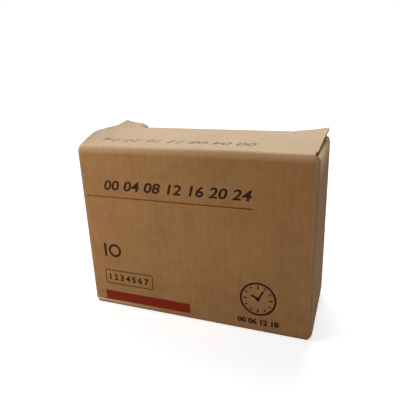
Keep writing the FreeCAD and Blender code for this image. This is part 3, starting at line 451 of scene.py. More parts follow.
def cartonWalls():
    place, normal, way, total, wall = wallRing()
    share = np.linspace(0, 1, carton["foldSteps"] + 1)
    frontTop, rearTop = carton["height"] - foldR, tubeHigh[2] - carton["rearRimGap"]
    lowZ, lowTurn = wallEnd(normal, share[:0:-1], ringLow, -1, ringLow - foldR, ringLow - tubeLow[2])
    highZ, highTurn = wallEnd(normal, share[1:], ringHigh, 1, frontTop - ringHigh, rearTop - ringHigh)
    rise = np.tile(np.linspace(ringLow, ringHigh, carton["riseSteps"]), (len(place), 1))
    z = np.hstack([lowZ, rise, highZ])
    turn = np.hstack([lowTurn, np.zeros_like(rise), highTurn])
    flatWall = np.abs(normal[:, 1:]) > 0.999
    inwards = foldR * (1 - np.cos(turn)) + np.where(flatWall, frontSag(place[:, :1], z), 0)
    outer = np.dstack([place[:, None] - normal[:, None] * inwards[..., None], z])
    lean = np.dstack([normal[:, None] * np.cos(turn)[..., None], np.sign(z - wallCentreZ) * np.sin(turn)])
    keep = np.ones((len(place), z.shape[1] - 1), dtype=bool)
    cut = carton["foldSteps"] - carton["cornerSteps"]
    keep[wall < 0, :cut] = keep[wall < 0, -cut:] = False
    folded = ((wall >= 0) & (wall != 2))[:, None]
    flat = stack(way[:, None], z) * mm
    walls = boardFaces(outer, outer - board * lean, flat, keep, total * mm, folds={0: folded, 2: folded})
    x = np.linspace(board - halfX, board - halfX + carton["glueWide"], 8)[:, None]
    z = np.linspace(carton["glueInset"], carton["height"] - carton["glueInset"], 20)
    glue = stack(x, halfY - 2 * board - carton["glueGap"], z)
    glueFlap = boardFaces(glue, glue + [0, board, 0], stack(x, z) * mm)
    showMesh("cartonWalls", [walls, glueFlap], boardFinish, "kraft_board", "carton_tube")


# Lid: flat in the middle, its left end puffed up and both rear corners cut free as tabs
lid = {
    "puff": 3.3, "puffRear": 2.0, "puffPeak": 0.38, "puffEase": 1.05, "leftTab": 1.65, "leftWear": 1.4,
    "rightTab": 1.7, "rootShare": 0.15, "rootSlope": 4.0, "twist": 0.3, "sideInset": 1.4, "tabWidth": 13.0,
    "tabLength": 7.0, "slit": 0.2, "leftReach": 0.9, "rightSpread": 0.75, "wallGap": 0.6,
    "endSteps": 15, "middleSteps": 60, "flatSteps": 34, "tabSteps": 7, "tuckSteps": 12,
}
lidReach = 2 * halfY - board - lid["wallGap"] - foldRise
lidEndX = halfX - lid["sideInset"]
rootX = lidEndX - lid["tabWidth"]
tabY = lidReach - lid["tabLength"]
middleX = rootX - lid["slit"]


def lidTwist(x, back):
    # The lid's rear edge stands a little higher at the left than at the right
    return lid["twist"] * back * np.interp(x, [-lidEndX, -rootX, rootX, lidEndX], [0, 1, -1, -1])


def backShare(y, start):
    return np.clip((y - start) / (lidReach - start), 0, 1)


def lidEdge(x, y):
    # Outer end of the lid on the side of x: slanted by the front fold, worn back at the left tab, and
    # spread a little outwards at the right one
    worn, spread = lid["leftWear"] * backShare(y, tabY), lid["rightSpread"] * backShare(y, foldReach) ** 3
    start = halfX - foldR + np.where(x < 0, lid["leftReach"], 0)
    return np.minimum(lidEndX + np.where(x < 0, -worn, spread), start + np.maximum(y - foldReach, 0) / 4)


def lidHeight(x, y):
    # Rise above the flat lid: left, puff(back) * across^2 + tab * rise; right, rise * back^3 * across^1.5
    across = np.clip((np.abs(x) - rootX) / (lidEdge(x, y) - rootX), 0, 1)
    back, tab, peak = backShare(y, foldReach), backShare(y, tabY), lid["puffPeak"]
    puff = lid["puff"] * np.sin(halfPi * np.minimum(back / peak, 1) ** lid["puffEase"])
    puff -= (lid["puff"] - lid["puffRear"]) * np.maximum(0, back - peak) / (1 - peak)
    onTab = (np.abs(x) >= rootX - 1e-6) * tab * np.minimum(1, lid["rootShare"] + lid["rootSlope"] * across)
    left = puff * across ** 2 + lid["leftTab"] * onTab
    right = lid["rightTab"] * back ** 3 * across ** 1.5
    return np.where(x < 0, left, right) + lidTwist(x, back)


def fromFold(flat):
    # An eighth of a round from the fold's middle, then a flat run: places, levels and tilts
    arc = np.linspace(np.pi / 4, halfPi, carton["foldSteps"] + 1)
    places = np.concatenate([foldReach - foldR * np.cos(arc), flat])
    levels = np.concatenate([foldR * np.sin(arc) - foldReach, np.full(len(flat), foldRise)])
    return places, levels, np.concatenate([halfPi - arc, np.zeros(len(flat))])


def panelGrid():
    # Across: the free ends follow their slanted edge. Back: an eighth round, the flat, then an eighth round
    # in the middle and a straight tab at the ends
    ends = np.linspace(0, 1, lid["endSteps"])
    share = np.linspace(0, 1, carton["foldSteps"] + 1)[1:]
    flatY = np.linspace(foldReach, tabY, lid["flatSteps"])[1:]
    rearY = np.linspace(tabY, lidReach - foldR, lid["tabSteps"])[1:]
    y, level, frontTurn = fromFold(np.concatenate([flatY, rearY, lidReach - foldR + foldR * share]))
    left, right = (rootX + (lidEdge(end, y) - rootX) * ends[:, None] for end in (-1, 1))
    middle = np.linspace(-middleX, middleX, lid["middleSteps"])
    x = np.vstack([-left[::-1], np.tile(middle[:, None], (1, len(y))), right])
    rearTurn = np.concatenate([np.zeros(len(y) - len(share)), share * np.pi / 4])
    turn = np.where(np.abs(x) < rootX - 1e-6, rearTurn, 0)
    depth = np.where(turn > 0, lidReach - foldR + foldR * np.sin(turn), y)
    keep = np.ones((x.shape[0] - 1, x.shape[1] - 1), dtype=bool)
    keep[[len(ends) - 1, -len(ends)], carton["foldSteps"] + len(flatY):] = False
    return x, depth, level - foldR * (1 - np.cos(turn)), turn - frontTurn, keep


def panelTurn(up):
    # Level of the hinge line and lift of the closing panel, at the top (1) or the bottom (-1)
    return (hingeZ, np.radians(carton["lidLift"])) if up > 0 else (foldRise, 0.0)


def placePanel(x, y, z, up):
    # Turns a panel by its lift about the fold's hinge line and puts it there
    level, turn = panelTurn(up)
    cosine, sine = np.cos(turn), np.sin(turn)
    return stack(x, hingeY + y * cosine - z * sine, level + y * sine + z * cosine)


def closingPanel(name, node, body, up):
    x, y, z, tilt, keep = panelGrid()
    z = z + (lidHeight(x, y) if up > 0 else 0)
    outer = placePanel(x, y, up * z, up)
    inner = placePanel(x, y - board * np.sin(tilt), up * (z - board * np.cos(tilt)), up)
    folded = np.abs(x[:-1, :-1] + x[1:, :-1]) / 2 < middleX
    part = boardFaces(outer, inner, stack(x, y) * mm, keep, turnOver=up < 0, folds={0: True, 2: folded})
    showMesh(name, [part], topFinish if up > 0 else boardFinish, "kraft_board", node, body)


def tuckFlap(name, node, body, up):
    # From the fold's middle round to a plate that hangs behind the rear wall, leaning inwards
    arc = np.radians(np.linspace(45 + carton["tuckLean"], 0, carton["foldSteps"] + 4))
    drop = np.linspace(0, carton["tuckHang"], lid["tuckSteps"])[1:]
    localY = np.concatenate([foldR * np.cos(arc), np.full(len(drop), foldR)])
    localZ = np.concatenate([foldR * np.sin(arc), -drop]) * up
    tilt = np.concatenate([arc, np.zeros(len(drop))])
    half = middleX - carton["tuckTaper"] * np.concatenate([np.zeros(len(arc)), drop / carton["tuckHang"]])
    x = np.linspace(-1, 1, lid["middleSteps"])[:, None] * half
    lean = (np.radians(carton["tuckLean"]) - panelTurn(up)[1]) * up
    centre = placePanel(0.0, lidReach - foldR, up * (foldRise - foldR), up)
    twist = lidTwist(x, 1.0) if up > 0 else 0

    def placed(y, z):
        turnedZ = centre[2] - y * np.sin(lean) + z * np.cos(lean)
        return stack(x, centre[1] + y * np.cos(lean) + z * np.sin(lean), turnedZ + twist)

    outer = placed(localY, localZ)
    inner = placed(localY - board * np.cos(tilt), localZ - board * np.sin(tilt) * up)
    flat = stack(x, wayAlong(stack(localY, localZ))) * mm
    part = boardFaces(outer, inner, flat, turnOver=up < 0, folds={0: True})
    showMesh(name, [part], boardFinish, "kraft_board", node, body)


dustFlap = {"length": 28.0, "frontGap": 2.6, "taper": 0.5, "rearGap": 2.9, "neck": 9.0, "steps": 24}


def sideFlap(name, node, body, side, up):
    # A flap from its fold's middle inwards: its front edge slants back, its rear edge has a step and its
    # corner is cut
    length, neck = dustFlap["length"], foldReach + dustFlap["neck"]
    d, z, tilt = fromFold(np.concatenate([
        np.linspace(foldReach, neck - 1, 9)[1:], [neck], np.linspace(neck, length - 1, 14)[1:], [length]]))
    frontEnd = hingeY + dustFlap["frontGap"] + dustFlap["taper"] * length
    frontY = np.interp(d, [foldReach, length], [foldR - halfY, frontEnd])
    rearEdge = halfY - board - dustFlap["rearGap"]
    rearPath = [halfY - foldR, rearEdge, rearEdge, rearEdge - 1]
    rearY = np.interp(d, [neck - 1, neck, length - 1, length], rearPath)
    y = frontY + (rearY - frontY) * np.linspace(0, 1, dustFlap["steps"])[:, None]
    level = sideFoldZ - foldRise if up > 0 else carton["height"] - sideFoldZ + foldRise

    def placed(inwards, rise):
        return stack(side * (halfX - foldRise - inwards), y, level + up * rise)

    inner = placed(d + board * np.sin(tilt), z - board * np.cos(tilt))
    part = boardFaces(placed(d, z), inner, stack(y, d) * mm, turnOver=side * up < 0, folds={0: True})
    showMesh(name, [part], boardFinish, "kraft_board", node, body)


cartonWalls()
closingPanel("lidPanel", "lid_panel", "lid", 1)
closingPanel("bottomPanel", "bottom_panel", "bottom_lid", -1)
tuckFlap("tuckFlap", "tuck_flap", "lid_tuck", 1)
tuckFlap("bottomTuckFlap", "bottom_tuck_flap", "bottom_tuck", -1)
for side, word in ((-1, "Left"), (1, "Right")):
    low = word.lower()
    sideFlap(f"dustFlap{word}", f"dust_flap_{low}", f"{low}_dust_flap", side, 1)
    sideFlap(f"bottomDustFlap{word}", f"bottom_dust_flap_{low}", f"bottom_{low}_dust_flap", side, -1)
print("carton made")


# Printing: generic marks in plain ink, laid on the board's surface
ink = {
    "text": shade(32, 16, 14), "line": shade(102, 38, 26), "bar": shade(128, 32, 20),
    "bold": 0.02, "heavy": 0.045, "thick": 0.02, "lift": 0.03, "longEdge": 1.2,
}


def inkFinish(name, colour, under, *strengths):
    # Ink soaked into the board: patchy where the board's fibres stand up, its strength running from the left
    # end of the carton to the right
    finish = Finish(name, Roughness=0.62, Specular_IOR_Level=0.03)
    specks = finish.noise(1100, 4, 0.7).spread(0.34, 0.62, 0.94, 1.0)
    patchy = specks * finish.noise(160).spread(0.3, 0.7, 0.97, 1.0)
    finish.paint(kraft[under], (patchy * finish.axes()[0].over(-halfX, halfX, *strengths), ink[colour]))


inkFinish("textInk", "text", "base", 0.95, 1.0)
inkFinish("lineInk", "line", "base", 0.8, 1.0)
inkFinish("barInk", "bar", "base", 1.0, 1.0)
inkFinish("lidInk", "text", "topDark", 0.1, 0.64)


def onFront(points):
    # From (x, z) on the front wall to a place just proud of its surface
    x, z = points.T
    return stack(x, frontSag(x, z) - halfY - ink["lift"], z)


def onLid(points):
    # From (x, depth) seen from above to a place just proud of the tilted lid
    x, y = points[:, 0], (points[:, 1] - hingeY) / np.cos(panelTurn(1)[1])
    return placePanel(x, y, foldRise + lidHeight(x, y) + ink["lift"], 1)


def letters(text, left, base, width, height, slant=0.0, bold=0.0):
    # A line of text as flat faces, fitted to a width and a height, its long edges cut short
    curve = bpy.data.curves.new("letters", "FONT")
    curve.body, curve.shear, curve.offset, curve.resolution_u = text, slant, bold, 3
    holder = link("letters", curve)
    bpy.context.view_layer.update()
    flat = bpy.data.meshes.new_from_object(holder.evaluated_get(bpy.context.evaluated_depsgraph_get()))
    bpy.data.objects.remove(holder)
    shape = bmesh.new()
    shape.from_mesh(flat)
    points = np.array([vertex.co[:2] for vertex in shape.verts])
    scale = np.array([width, height]) / np.ptp(points, axis=0)
    for vertex, place in zip(shape.verts, (points - points.min(axis=0)) * scale + [left, base]):
        vertex.co = (*place, 0)
    bmesh.ops.remove_doubles(shape, verts=shape.verts, dist=1e-4)
    bmesh.ops.triangulate(shape, faces=shape.faces)
    longEdges = [edge for edge in shape.edges if edge.calc_length() > ink["longEdge"]]
    bmesh.ops.subdivide_edges(shape, edges=longEdges, cuts=2)
    bmesh.ops.triangulate(shape, faces=shape.faces)
    shape.verts.index_update()
    points = np.array([vertex.co[:2] for vertex in shape.verts])
    faces = [[vertex.index for vertex in face.verts] for face in shape.faces]
    shape.free()
    return points, faces


def band(path, half, closed=False):
    # A line of even width along a path of points: p + n * half and p - n * half
    path = np.asarray(path, dtype=float)
    right, up = tangents(path, closed).T
    normal = stack(-up, right) * half
    count = len(path)
    a = np.arange(count if closed else count - 1)
    b = (a + 1) % count
    return np.concatenate([path + normal, path - normal]), stack(a + count, b + count, b, a).tolist()


def arcPath(x, z, radius, start, stop, steps):
    turn = np.radians(np.linspace(start, stop, steps))
    return stack(x + radius * np.cos(turn), z + radius * np.sin(turn))


def circle(x, z, radius, half, steps):
    return band(arcPath(x, z, radius, 0, 360, steps + 1)[:-1], half, True)


def line(x0, z0, x1, z1, half, steps=2):
    share = np.linspace(0, 1, steps)[:, None]
    return band(np.array([x0, z0]) + (np.array([x1, z1]) - [x0, z0]) * share, half)


def spoke(x, z, degrees, start, stop, half):
    way = np.array([np.cos(np.radians(degrees)), np.sin(np.radians(degrees))])
    return line(*(way * start + [x, z]), *(way * stop + [x, z]), half)


def printed(name, shapes, onto, finish, body=root, slot="kraft_board"):
    # Flat shapes laid on a surface, as a film with its own small thickness
    parts = [(onto(np.asarray(points)), faces, None, None) for points, faces in shapes]
    film = showMesh(name, parts, [finish], slot, body=body, sharp=0).modifiers.new("film", "SOLIDIFY")
    film.thickness, film.offset = ink["thick"] * mm, -1


def roundFrame(left, right, low, high, corner, half):
    left, right, low, high = left + corner, right - corner, low + corner, high - corner
    middles = ((right, high), (left, high), (left, low), (right, low))
    arcs = [arcPath(*middle, corner, 90 * k, 90 * k + 90, 6) for k, middle in enumerate(middles)]
    return band(np.concatenate(arcs), half, True)


def clockFace(x, z, radius, half, tickStart, tickEnds, tickHalf, hands, hub):
    # An outline, twelve ticks and two hands
    ticks = [spoke(x, z, 30 * k, radius - tickStart, radius - tickEnds[k % 3], tickHalf) for k in range(12)]
    lines = ticks + [spoke(x, z, degrees, 0, length, width) for degrees, length, width in hands]
    return [circle(x, z, radius, half, 72), *lines, circle(x, z, *hub, 16)]


def turned(shape, right, base):
    # A flat shape turned by half a round
    points, faces = shape
    return [right, base] - points, faces


# The prints, each with its ink: the hours and a thin line, the hours again on the lid, a bar and a ring for
# on and off, the numbers of the days in a frame, a bar of colour, and a clock face over its hours
hours = {"text": "00 04 08 12 16 20 24", "height": 4.6, "slant": 0.22}
face = {
    "x": 80.1 - halfX, "z": 15.9, "radius": 7.2, "half": 0.42, "tickStart": 1.0, "tickEnds": (2.6, 1.9, 1.9),
    "tickHalf": 0.315, "hands": ((60, 4.6, 0.36), (150, 3.2, 0.5)), "hub": (0.45, 0.44),
}
prints = {
    "titlePrint": ("textInk", letters(**hours, left=12.2 - halfX, base=57.7, width=65.4, bold=ink["bold"])),
    "underlinePrint": ("lineInk", line(2.5 - halfX, 54.6, 77.8 - halfX, 54.6, half=0.25, steps=60)),
    "lidPrint": ("lidInk", turned(letters(**hours, left=0, base=0, width=68.6), 76.6 - halfX, 13.2 - halfY)),
    "switchMarkPrint": (
        "textInk", line(9.0375 - halfX, 25.7, 9.0375 - halfX, 32.2, half=0.575, steps=4),
        circle(13.95 - halfX, 28.95, radius=2.675, half=0.575, steps=48)),
    "dayFramePrint": (
        "textInk",
        roundFrame(left=7.7 - halfX, right=32.0 - halfX, low=11.9, high=18.8, corner=0.7, half=0.2),
        letters("1 2 3 4 5 6 7", left=9.7 - halfX, base=13.7, width=20.3, height=3.3, bold=ink["heavy"])),
    "colourBarPrint": ("barInk", line(6.7 - halfX, 5.55, 49.7 - halfX, 5.55, half=2.35, steps=40)),
    "dialPrint": (
        "textInk", *clockFace(**face),
        letters("00 06 12 18", left=71.4 - halfX, base=3.9, width=17.4, height=2.7, bold=ink["heavy"])),
}
for name, (finish, *shapes) in prints.items():
    onto, body = (onLid, "lid") if name == "lidPrint" else (onFront, root)
    printed(name, shapes, onto, finish, body)
print("printing laid on")


# Timer: the finishes of its pieces. Plastics are (colour, darker colour, roughness, grain) and metals are
# (colour, roughness, scale of the streaks)
plastics = {
    "housingPlastic": ((222, 222, 217), (206, 206, 200), 0.46, 0.5),
    "latchPlastic": ((46, 48, 51), (36, 38, 40), 0.5, 0.5),
    "buttonPlastic": ((62, 84, 118), (54, 74, 106), 0.36, 0.3),
    "resetPlastic": ((186, 44, 34), (168, 36, 30), 0.34, 0.3),
    "relayPlastic": ((44, 62, 96), (36, 52, 84), 0.4, 0.4),
    "filmPlastic": ((214, 168, 44), (198, 152, 36), 0.38, 0.3),
    "varistorCoat": ((38, 84, 142), (30, 70, 124), 0.34, 0.8),
    "chipPlastic": ((30, 30, 33), (40, 40, 43), 0.55, 0.6),
    "headerPlastic": ((28, 28, 29), (38, 38, 40), 0.5, 0.4),
}
metals = {
    "tinPlate": ((0.78, 0.78, 0.76), 0.26, (1, 1, 0.05)),
    "zincSteel": ((0.62, 0.63, 0.62), 0.34, (1, 1, 0.05)),
    "brass": ((0.78, 0.56, 0.28), 0.3, (1, 1, 0.05)),
    "copperWire": ((0.72, 0.33, 0.17), 0.28, (0.1, 1, 1)),
}


def mouldedPlastic(name, colour, darker, rough, grain):
    # Moulded plastic with a fine spark-eroded grain and faint flow clouds
    finish = Finish(name, Specular_IOR_Level=0.5)
    specks = finish.noise(3800, 2).spread(0.3, 0.7)
    finish.paint(shade(*colour), (finish.noise(70, 2).spread(0.35, 0.65) * 0.5 + 0.1, shade(*darker)))
    finish.rough(specks, rough - 0.06, rough + 0.08)
    finish.bump(specks, 0.00002, grain)


def brushedMetal(name, colour, rough, scale):
    # Metal with drawn streaks along one way and a little tarnish
    finish = Finish(name, Metallic=1.0)
    streaks = finish.noise(2600, 3, 0.6, scale).spread(0.3, 0.7)
    tarnish = finish.noise(210, 4).spread(0.35, 0.72)
    finish.paint((*colour, 1), (tarnish * 0.6, (*(part * 0.72 for part in colour), 1)))
    finish.rough(streaks, rough - 0.08, rough + 0.12)
    finish.bump(streaks, 0.000015, 0.5)


def circuitBoard():
    # Green lacquer over glass weave, with a net of copper tracks that show through as raised lines
    finish = Finish("circuitBoard", Specular_IOR_Level=0.6, Coat_Weight=0.4, Coat_Roughness=0.12)
    tracks = finish.add("TexBrick", {
        "Vector": finish.place(), "Scale": 420.0, "Mortar Size": 0.09, "Mortar Smooth": 0.2, "Bias": 0.0,
        "Brick Width": 1.7, "Row Height": 0.6}, offset=0.35, squash=0.7, squash_frequency=3).outputs["Fac"]
    raised = Signal(finish, tracks).spread(0.2, 0.8) * finish.noise(150, 2).spread(0.5, 0.53)
    weave = finish.noise(1500, 2).spread(0.3, 0.7)
    finish.paint(shade(18, 92, 52), (weave * 0.3, shade(12, 70, 40)), (raised, shade(42, 128, 66)))
    finish.rough(weave, 0.3, 0.42)
    finish.bump(raised, 0.00004, 0.6)


def clouded(name, colour, tone, noise, spread, share, rough, **constants):
    # One noise clouds the colour and drives the roughness
    finish = Finish(name, **constants)
    clouds = finish.noise(*noise).spread(*spread)
    finish.paint(shade(*colour), (clouds * share, shade(*tone)))
    finish.rough(clouds, *rough)


def displayFace():
    # Grey-green reflector with a faint grain
    finish = Finish("displayFace", Specular_IOR_Level=0.5, Coat_Weight=0.6, Coat_Roughness=0.05)
    grain, wide = (finish.noise(scale, 2).spread(0.3, 0.7) for scale in (4200, 60))
    finish.paint(
        shade(168, 176, 152), (grain * 0.5, shade(156, 165, 142)), (wide * 0.2, shade(184, 190, 168)))
    finish.rough(grain, 0.3, 0.4)


def stripedRubber():
    # Conducting and insulating layers in turn: stripe where sin(2 pi y / 0.5 mm) > 0
    finish = Finish("stripedRubber", Roughness=0.8, Specular_IOR_Level=0.3)
    stripe = finish.axes()[1].wave(0.5 * mm).spread(-0.2, 0.2)
    finish.paint(shade(196, 190, 176), (stripe, shade(40, 40, 42)))


def sleeve():
    # Shrink sleeve with a pale stripe down one side, from u round the can, and dark dashes in it
    finish = Finish("sleeve", Specular_IOR_Level=0.5)
    u, v = finish.axes("UV")[:2]
    around = abs(u - 0.5)
    dash = around.spread(0.03, 0.035, 1, 0) * v.offMiddle(1 / 6).spread(0.3, 0.32, 1, 0)
    dark = shade(34, 38, 52)
    finish.paint(dark, (around.spread(0.11, 0.12, 1, 0), shade(178, 184, 194)), (dash, dark))
    finish.rough(finish.noise(400).spread(0.3, 0.7), 0.24, 0.36)


def leafletPaper():
    # White paper with rows of grey print in three columns: rows from v, words where noise along u is high
    finish = Finish("leafletPaper", Roughness=0.8, Specular_IOR_Level=0.2)
    u, v = finish.axes("UV")[:2]
    inRow = v.offMiddle(1.5 * mm).spread(0.2, 0.24, 1, 0)
    inColumn = u.offMiddle(30.6 * mm).spread(0.40, 0.41, 1, 0)
    words = finish.noise(1.0, 2, 0.5, (1500, 667, 1), "UV").spread(0.44, 0.48)
    block = finish.noise(1.0, 1, 0.5, (40, 90, 1), "UV").spread(0.46, 0.48)
    fibre = finish.noise(700, 4).spread(0.3, 0.7)
    text = inRow * words * (inColumn * block)
    finish.paint(shade(240, 240, 236), (fibre * 0.4, shade(228, 228, 222)), (text * 0.7, shade(70, 70, 74)))
    finish.bump(fibre, 0.00002, 0.4)


for name, values in plastics.items():
    mouldedPlastic(name, *values)
for name, values in metals.items():
    brushedMetal(name, *values)
clouded(
    "clearLens", (250, 252, 250), (232, 236, 234), noise=(900, 4, 0.7, (1, 0.1, 1)), spread=(0.6, 0.75),
    share=0.3, rough=(0.02, 0.12), IOR=1.5, Transmission_Weight=1.0)
clouded(
    "siliconeRubber", (198, 198, 192), (216, 216, 210), noise=(320, 4), spread=(0.35, 0.7), share=0.5,
    rough=(0.55, 0.75), Specular_IOR_Level=0.35, Subsurface_Weight=0.15)
clouded(
    "redLed", (196, 26, 20), (160, 14, 12), noise=(500, 2), spread=(0.3, 0.7), share=1,
    rough=(0.08, 0.16), IOR=1.5, Transmission_Weight=0.35)
circuitBoard()
displayFace()
stripedRubber()
sleeve()
leafletPaper()
print("timer finishes made")


# Pieces of the timer that keep the CAD's own shape, as (finish, width of the eased edges, nodes)
buttonNames = [f"{word}_button" for word in ("clock", "program", "manual", "day", "hour", "minute")]
terminals = range(1, 6)
dressing = (
    ("housingPlastic", 0.15, "front_housing", "rear_housing"), ("latchPlastic", 0.2, "rail_latch"),
    ("buttonPlastic", 0, *buttonNames), ("clearLens", 0.12, "display_lens"),
    ("displayFace", 0.08, "display_glass"), ("stripedRubber", 0.15, "contact_strips"),
    ("siliconeRubber", 0, "key_mat"), ("circuitBoard", 0.05, "display_board", "power_board"),
    ("relayPlastic", 0.3, "relay_cover"), ("headerPlastic", 0.1, "relay_base"),
    ("zincSteel", 0.12, "relay_yoke", "relay_armature"),
    ("brass", 0, "relay_moving_contact", "relay_fixed_contact"),
    ("zincSteel", 0.25, *(f"terminal_cage_{i}" for i in terminals)),
    ("brass", 0.15, *(f"terminal_plate_{i}" for i in terminals)), ("tinPlate", 0.1, "battery_clip"),
)


def dress(node, finish, edge):
    for place in node.material_slots:
        place.material = finish
    if edge:
        node.modifiers.new("weld", "WELD").merge_threshold = 0.00001
        flat = node.modifiers.new("flat", "DECIMATE")
        flat.decimate_type, flat.angle_limit = "DISSOLVE", np.radians(1)
        rounding = node.modifiers.new("rounding", "BEVEL")
        rounding.width, rounding.segments = edge * mm, 2
        rounding.limit_method, rounding.angle_limit = "ANGLE", np.radians(35)


for finish, edge, *names in dressing:
    for name in names:
        dress(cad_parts[name], finishes[finish], edge)
print("CAD pieces dressed")


# Shapes for the made pieces
def ringsBody(rings, number=0):
    # Rings of points carried along a path and closed at both ends, as one part with a material number
    count, around = rings.shape[:2]
    index = np.arange(count * around).reshape(count, around)
    following = np.roll(index, -1, axis=1)
    sides = stack(index[:-1], following[:-1], following[1:], index[1:]).reshape(-1, 4)
    faces = sides.tolist() + [index[0, ::-1].tolist(), index[-1].tolist()]
    flat = stack(np.arange(around) / around, np.linspace(0, 1, count)[:, None]).reshape(-1, 2)
    uv = flat[np.concatenate([np.ravel(face) for face in faces])]
    return rings.reshape(-1, 3), faces, uv, np.full(len(faces), number)


def roundBlock(low, high, corner, ease, number=0):
    # A block with upright corners of one radius and eased ends: inset(t) = ease * (1 - sin t) at each end
    turn = np.linspace(0, halfPi, 4)
    inset = ease * np.concatenate([1 - np.sin(turn), 1 - np.cos(turn)])[:, None]
    level = np.concatenate([low[2] + ease * (1 - np.cos(turn)), high[2] - ease * (1 - np.sin(turn))])
    radius = np.maximum(corner - inset, 0.02)
    angles = np.concatenate([np.linspace(0, halfPi, 5) + k * halfPi for k in range(4)])
    signs = np.repeat([[1, 1], [-1, 1], [-1, -1], [1, -1]], 5, axis=0).T
    x, y = (
        (start + stop) / 2 + sign * ((stop - start) / 2 - inset - radius) + radius * part
        for start, stop, sign, part in zip(low, high, signs, (np.cos(angles), np.sin(angles))))
    return ringsBody(stack(x, y, level[:, None]), number)


def profile(radius, low, high, foot, head=()):
    # Points are (inset from the radius, distance from an end): foot from the low end, head from the high one
    points = [(radius - inset, low + up) for inset, up in foot]
    return points + [(radius - inset, high - down) for inset, down in head]


def dome(radius, top, rise, power, steps):
    # Tip of a profile: radius * cos(t)^power at top - rise * (1 - sin t)
    turn = np.linspace(0, halfPi, steps)[:-1]
    return stack(radius * np.cos(turn) ** power, top - rise + rise * np.sin(turn))


def turnedBody(points, centre, axis="z", steps=40, number=0):
    # A profile of (radius, place along the axis) spun round the axis
    radius, along = np.asarray(points, dtype=float).T[..., None]
    turn = 2 * np.pi * np.arange(steps) / steps
    a, b = radius * np.cos(turn), radius * np.sin(turn)
    p, q = centre
    order = {"z": (a + p, b + q, along), "x": (along, a + p, b + q), "y": (b + p, along, a + q)}
    return ringsBody(stack(*order[axis]), number)


def bentBar(path, across, wide, thick, number=0):
    # A flat bar along a path: wide along one direction and thick along the path's normal
    path, across = np.asarray(path, dtype=float), np.asarray(across, dtype=float)
    up = np.cross(tangents(path), across)
    corners = ((-1, -1), (1, -1), (1, 1), (-1, 1))
    rings = np.stack([path + across * wide / 2 * i + up * thick / 2 * j for i, j in corners], axis=1)
    return ringsBody(rings, number)


# Made pieces: each builder takes its node's box and its dictionary of values, and gives back the parts
chip = {
    "legs": 11, "legWide": 0.3, "legThick": 0.16, "reach": 0.8, "margin": 0.4, "corner": 0.35, "ease": 0.2,
    "foot": 0.05, "roof": 0.15, "sole": 0.1, "bends": (-0.05, 0.22, 0.34, 0.78),
}


def chipParts(
        low, high, middle, legs, legWide, legThick, reach, margin, corner, ease, foot, roof, sole, bends):
    parts = [roundBlock(low + [reach, reach, foot], high - [reach, reach, roof], corner, ease)]
    half = (high[0] - low[0]) / 2 - reach
    for turn in halfPi * np.arange(4):
        out, across = np.array([[np.cos(turn), np.sin(turn), 0], [-np.sin(turn), np.cos(turn), 0]])
        for offset in np.linspace(-1, 1, legs) * (half - margin):
            path = [middle[0], middle[1], 0] + (half + np.array(bends))[:, None] * out + offset * across
            path[:, 2] = np.repeat([middle[2], high[2] - sole], 2)
            parts.append(bentBar(path, across, legWide, legThick, 1))
    return parts


crystal = {
    "foot": ((0.5, 0), (0.8, 0.05), (0.95, 0.25)), "thick": 0.18, "sole": 0.05,
    "head": ((0.95, 1.0), (1, 0.95), (1, 0.6), (0.9, 0.55), (0.3, 0.5)),
    "leadX": 0.35, "leadY": (0.55, 0.25, 0.1, 0.1), "leadDrop": 0.2,
}


def crystalParts(low, high, middle, foot, head, leadX, leadY, leadDrop, thick, sole):
    # A round can on its side, its profile in shares of the radius. Two leads turn down to the board
    radius = (high[0] - low[0]) / 2
    can = [(radius * share, low[1] + y) for share, y in foot]
    can += [(radius * share, high[1] - y) for share, y in head]
    levels = middle[2] + np.array([0, 0, leadDrop, high[2] - sole - middle[2]])
    leads = [stack(x, high[1] - np.array(leadY), levels) for x in (middle[0] - leadX, middle[0] + leadX)]
    bars = [bentBar(lead, (1, 0, 0), thick, thick) for lead in leads]
    return [turnedBody(can, middle[[0, 2]], "y", 28), *bars]


coinCell = {
    "cup": (
        ((0.75, 1.0), (0.7, 0.85), (0.35, 0.82), (0.08, 1.0), (0, 1.3)), ((0, 0.45), (0.2, 0.12), (0.6, 0))),
    "cap": (((1.4, 0), (1.05, 0.08), (0.85, 0.35), (0.85, 1.0)),),
}


def batteryParts(low, high, middle, cup, cap):
    # A coin cell: a cup with a rolled rim, and the smaller cap seated in it
    ends = (high[0] - low[0]) / 2, low[2], high[2]
    return [turnedBody(profile(*ends, *points), middle[:2], steps=56) for points in (cup, cap)]


filmCase = {
    "standOff": 0.5, "corner": 0.7, "ease": 0.35, "legInset": 1.5, "legRadius": 0.35, "legHigh": 0.6,
    "fill": (0.5, 0.5, 0.3), "fillTop": (0.5, 0.5, 13.0), "fillCorner": 0.3, "fillEase": 0.1,
}


def filmParts(
        low, high, middle, standOff, corner, ease, legInset, legRadius, legHigh, fill, fillTop, fillCorner,
        fillEase):
    leg = [(legRadius, low[2]), (legRadius, low[2] + legHigh)]
    places = low[0] + legInset, high[0] - legInset
    return [
        roundBlock(low + [0, 0, standOff], high, corner, ease),
        roundBlock(low + fill, high - fillTop, fillCorner, fillEase, 1),
        *(turnedBody(leg, (x, middle[1]), steps=12, number=2) for x in places)]


filterCan = {
    "foot": ((0.9, 0), (0.15, 0.1), (0, 0.4), (0, 1.2), (0.4, 1.6), (0.4, 1.9), (0, 2.3)),
    "head": ((0, 0.35), (0.12, 0.08), (0.7, 0), (0.75, 0.12)), "top": ((0.72, 0.5), (0.72, 0.14)),
    "hub": (0.4, 0.12), "turns": (0, 60, 120), "scoreHalf": 2.2, "down": 0.11, "score": (0.16, 0.06),
}


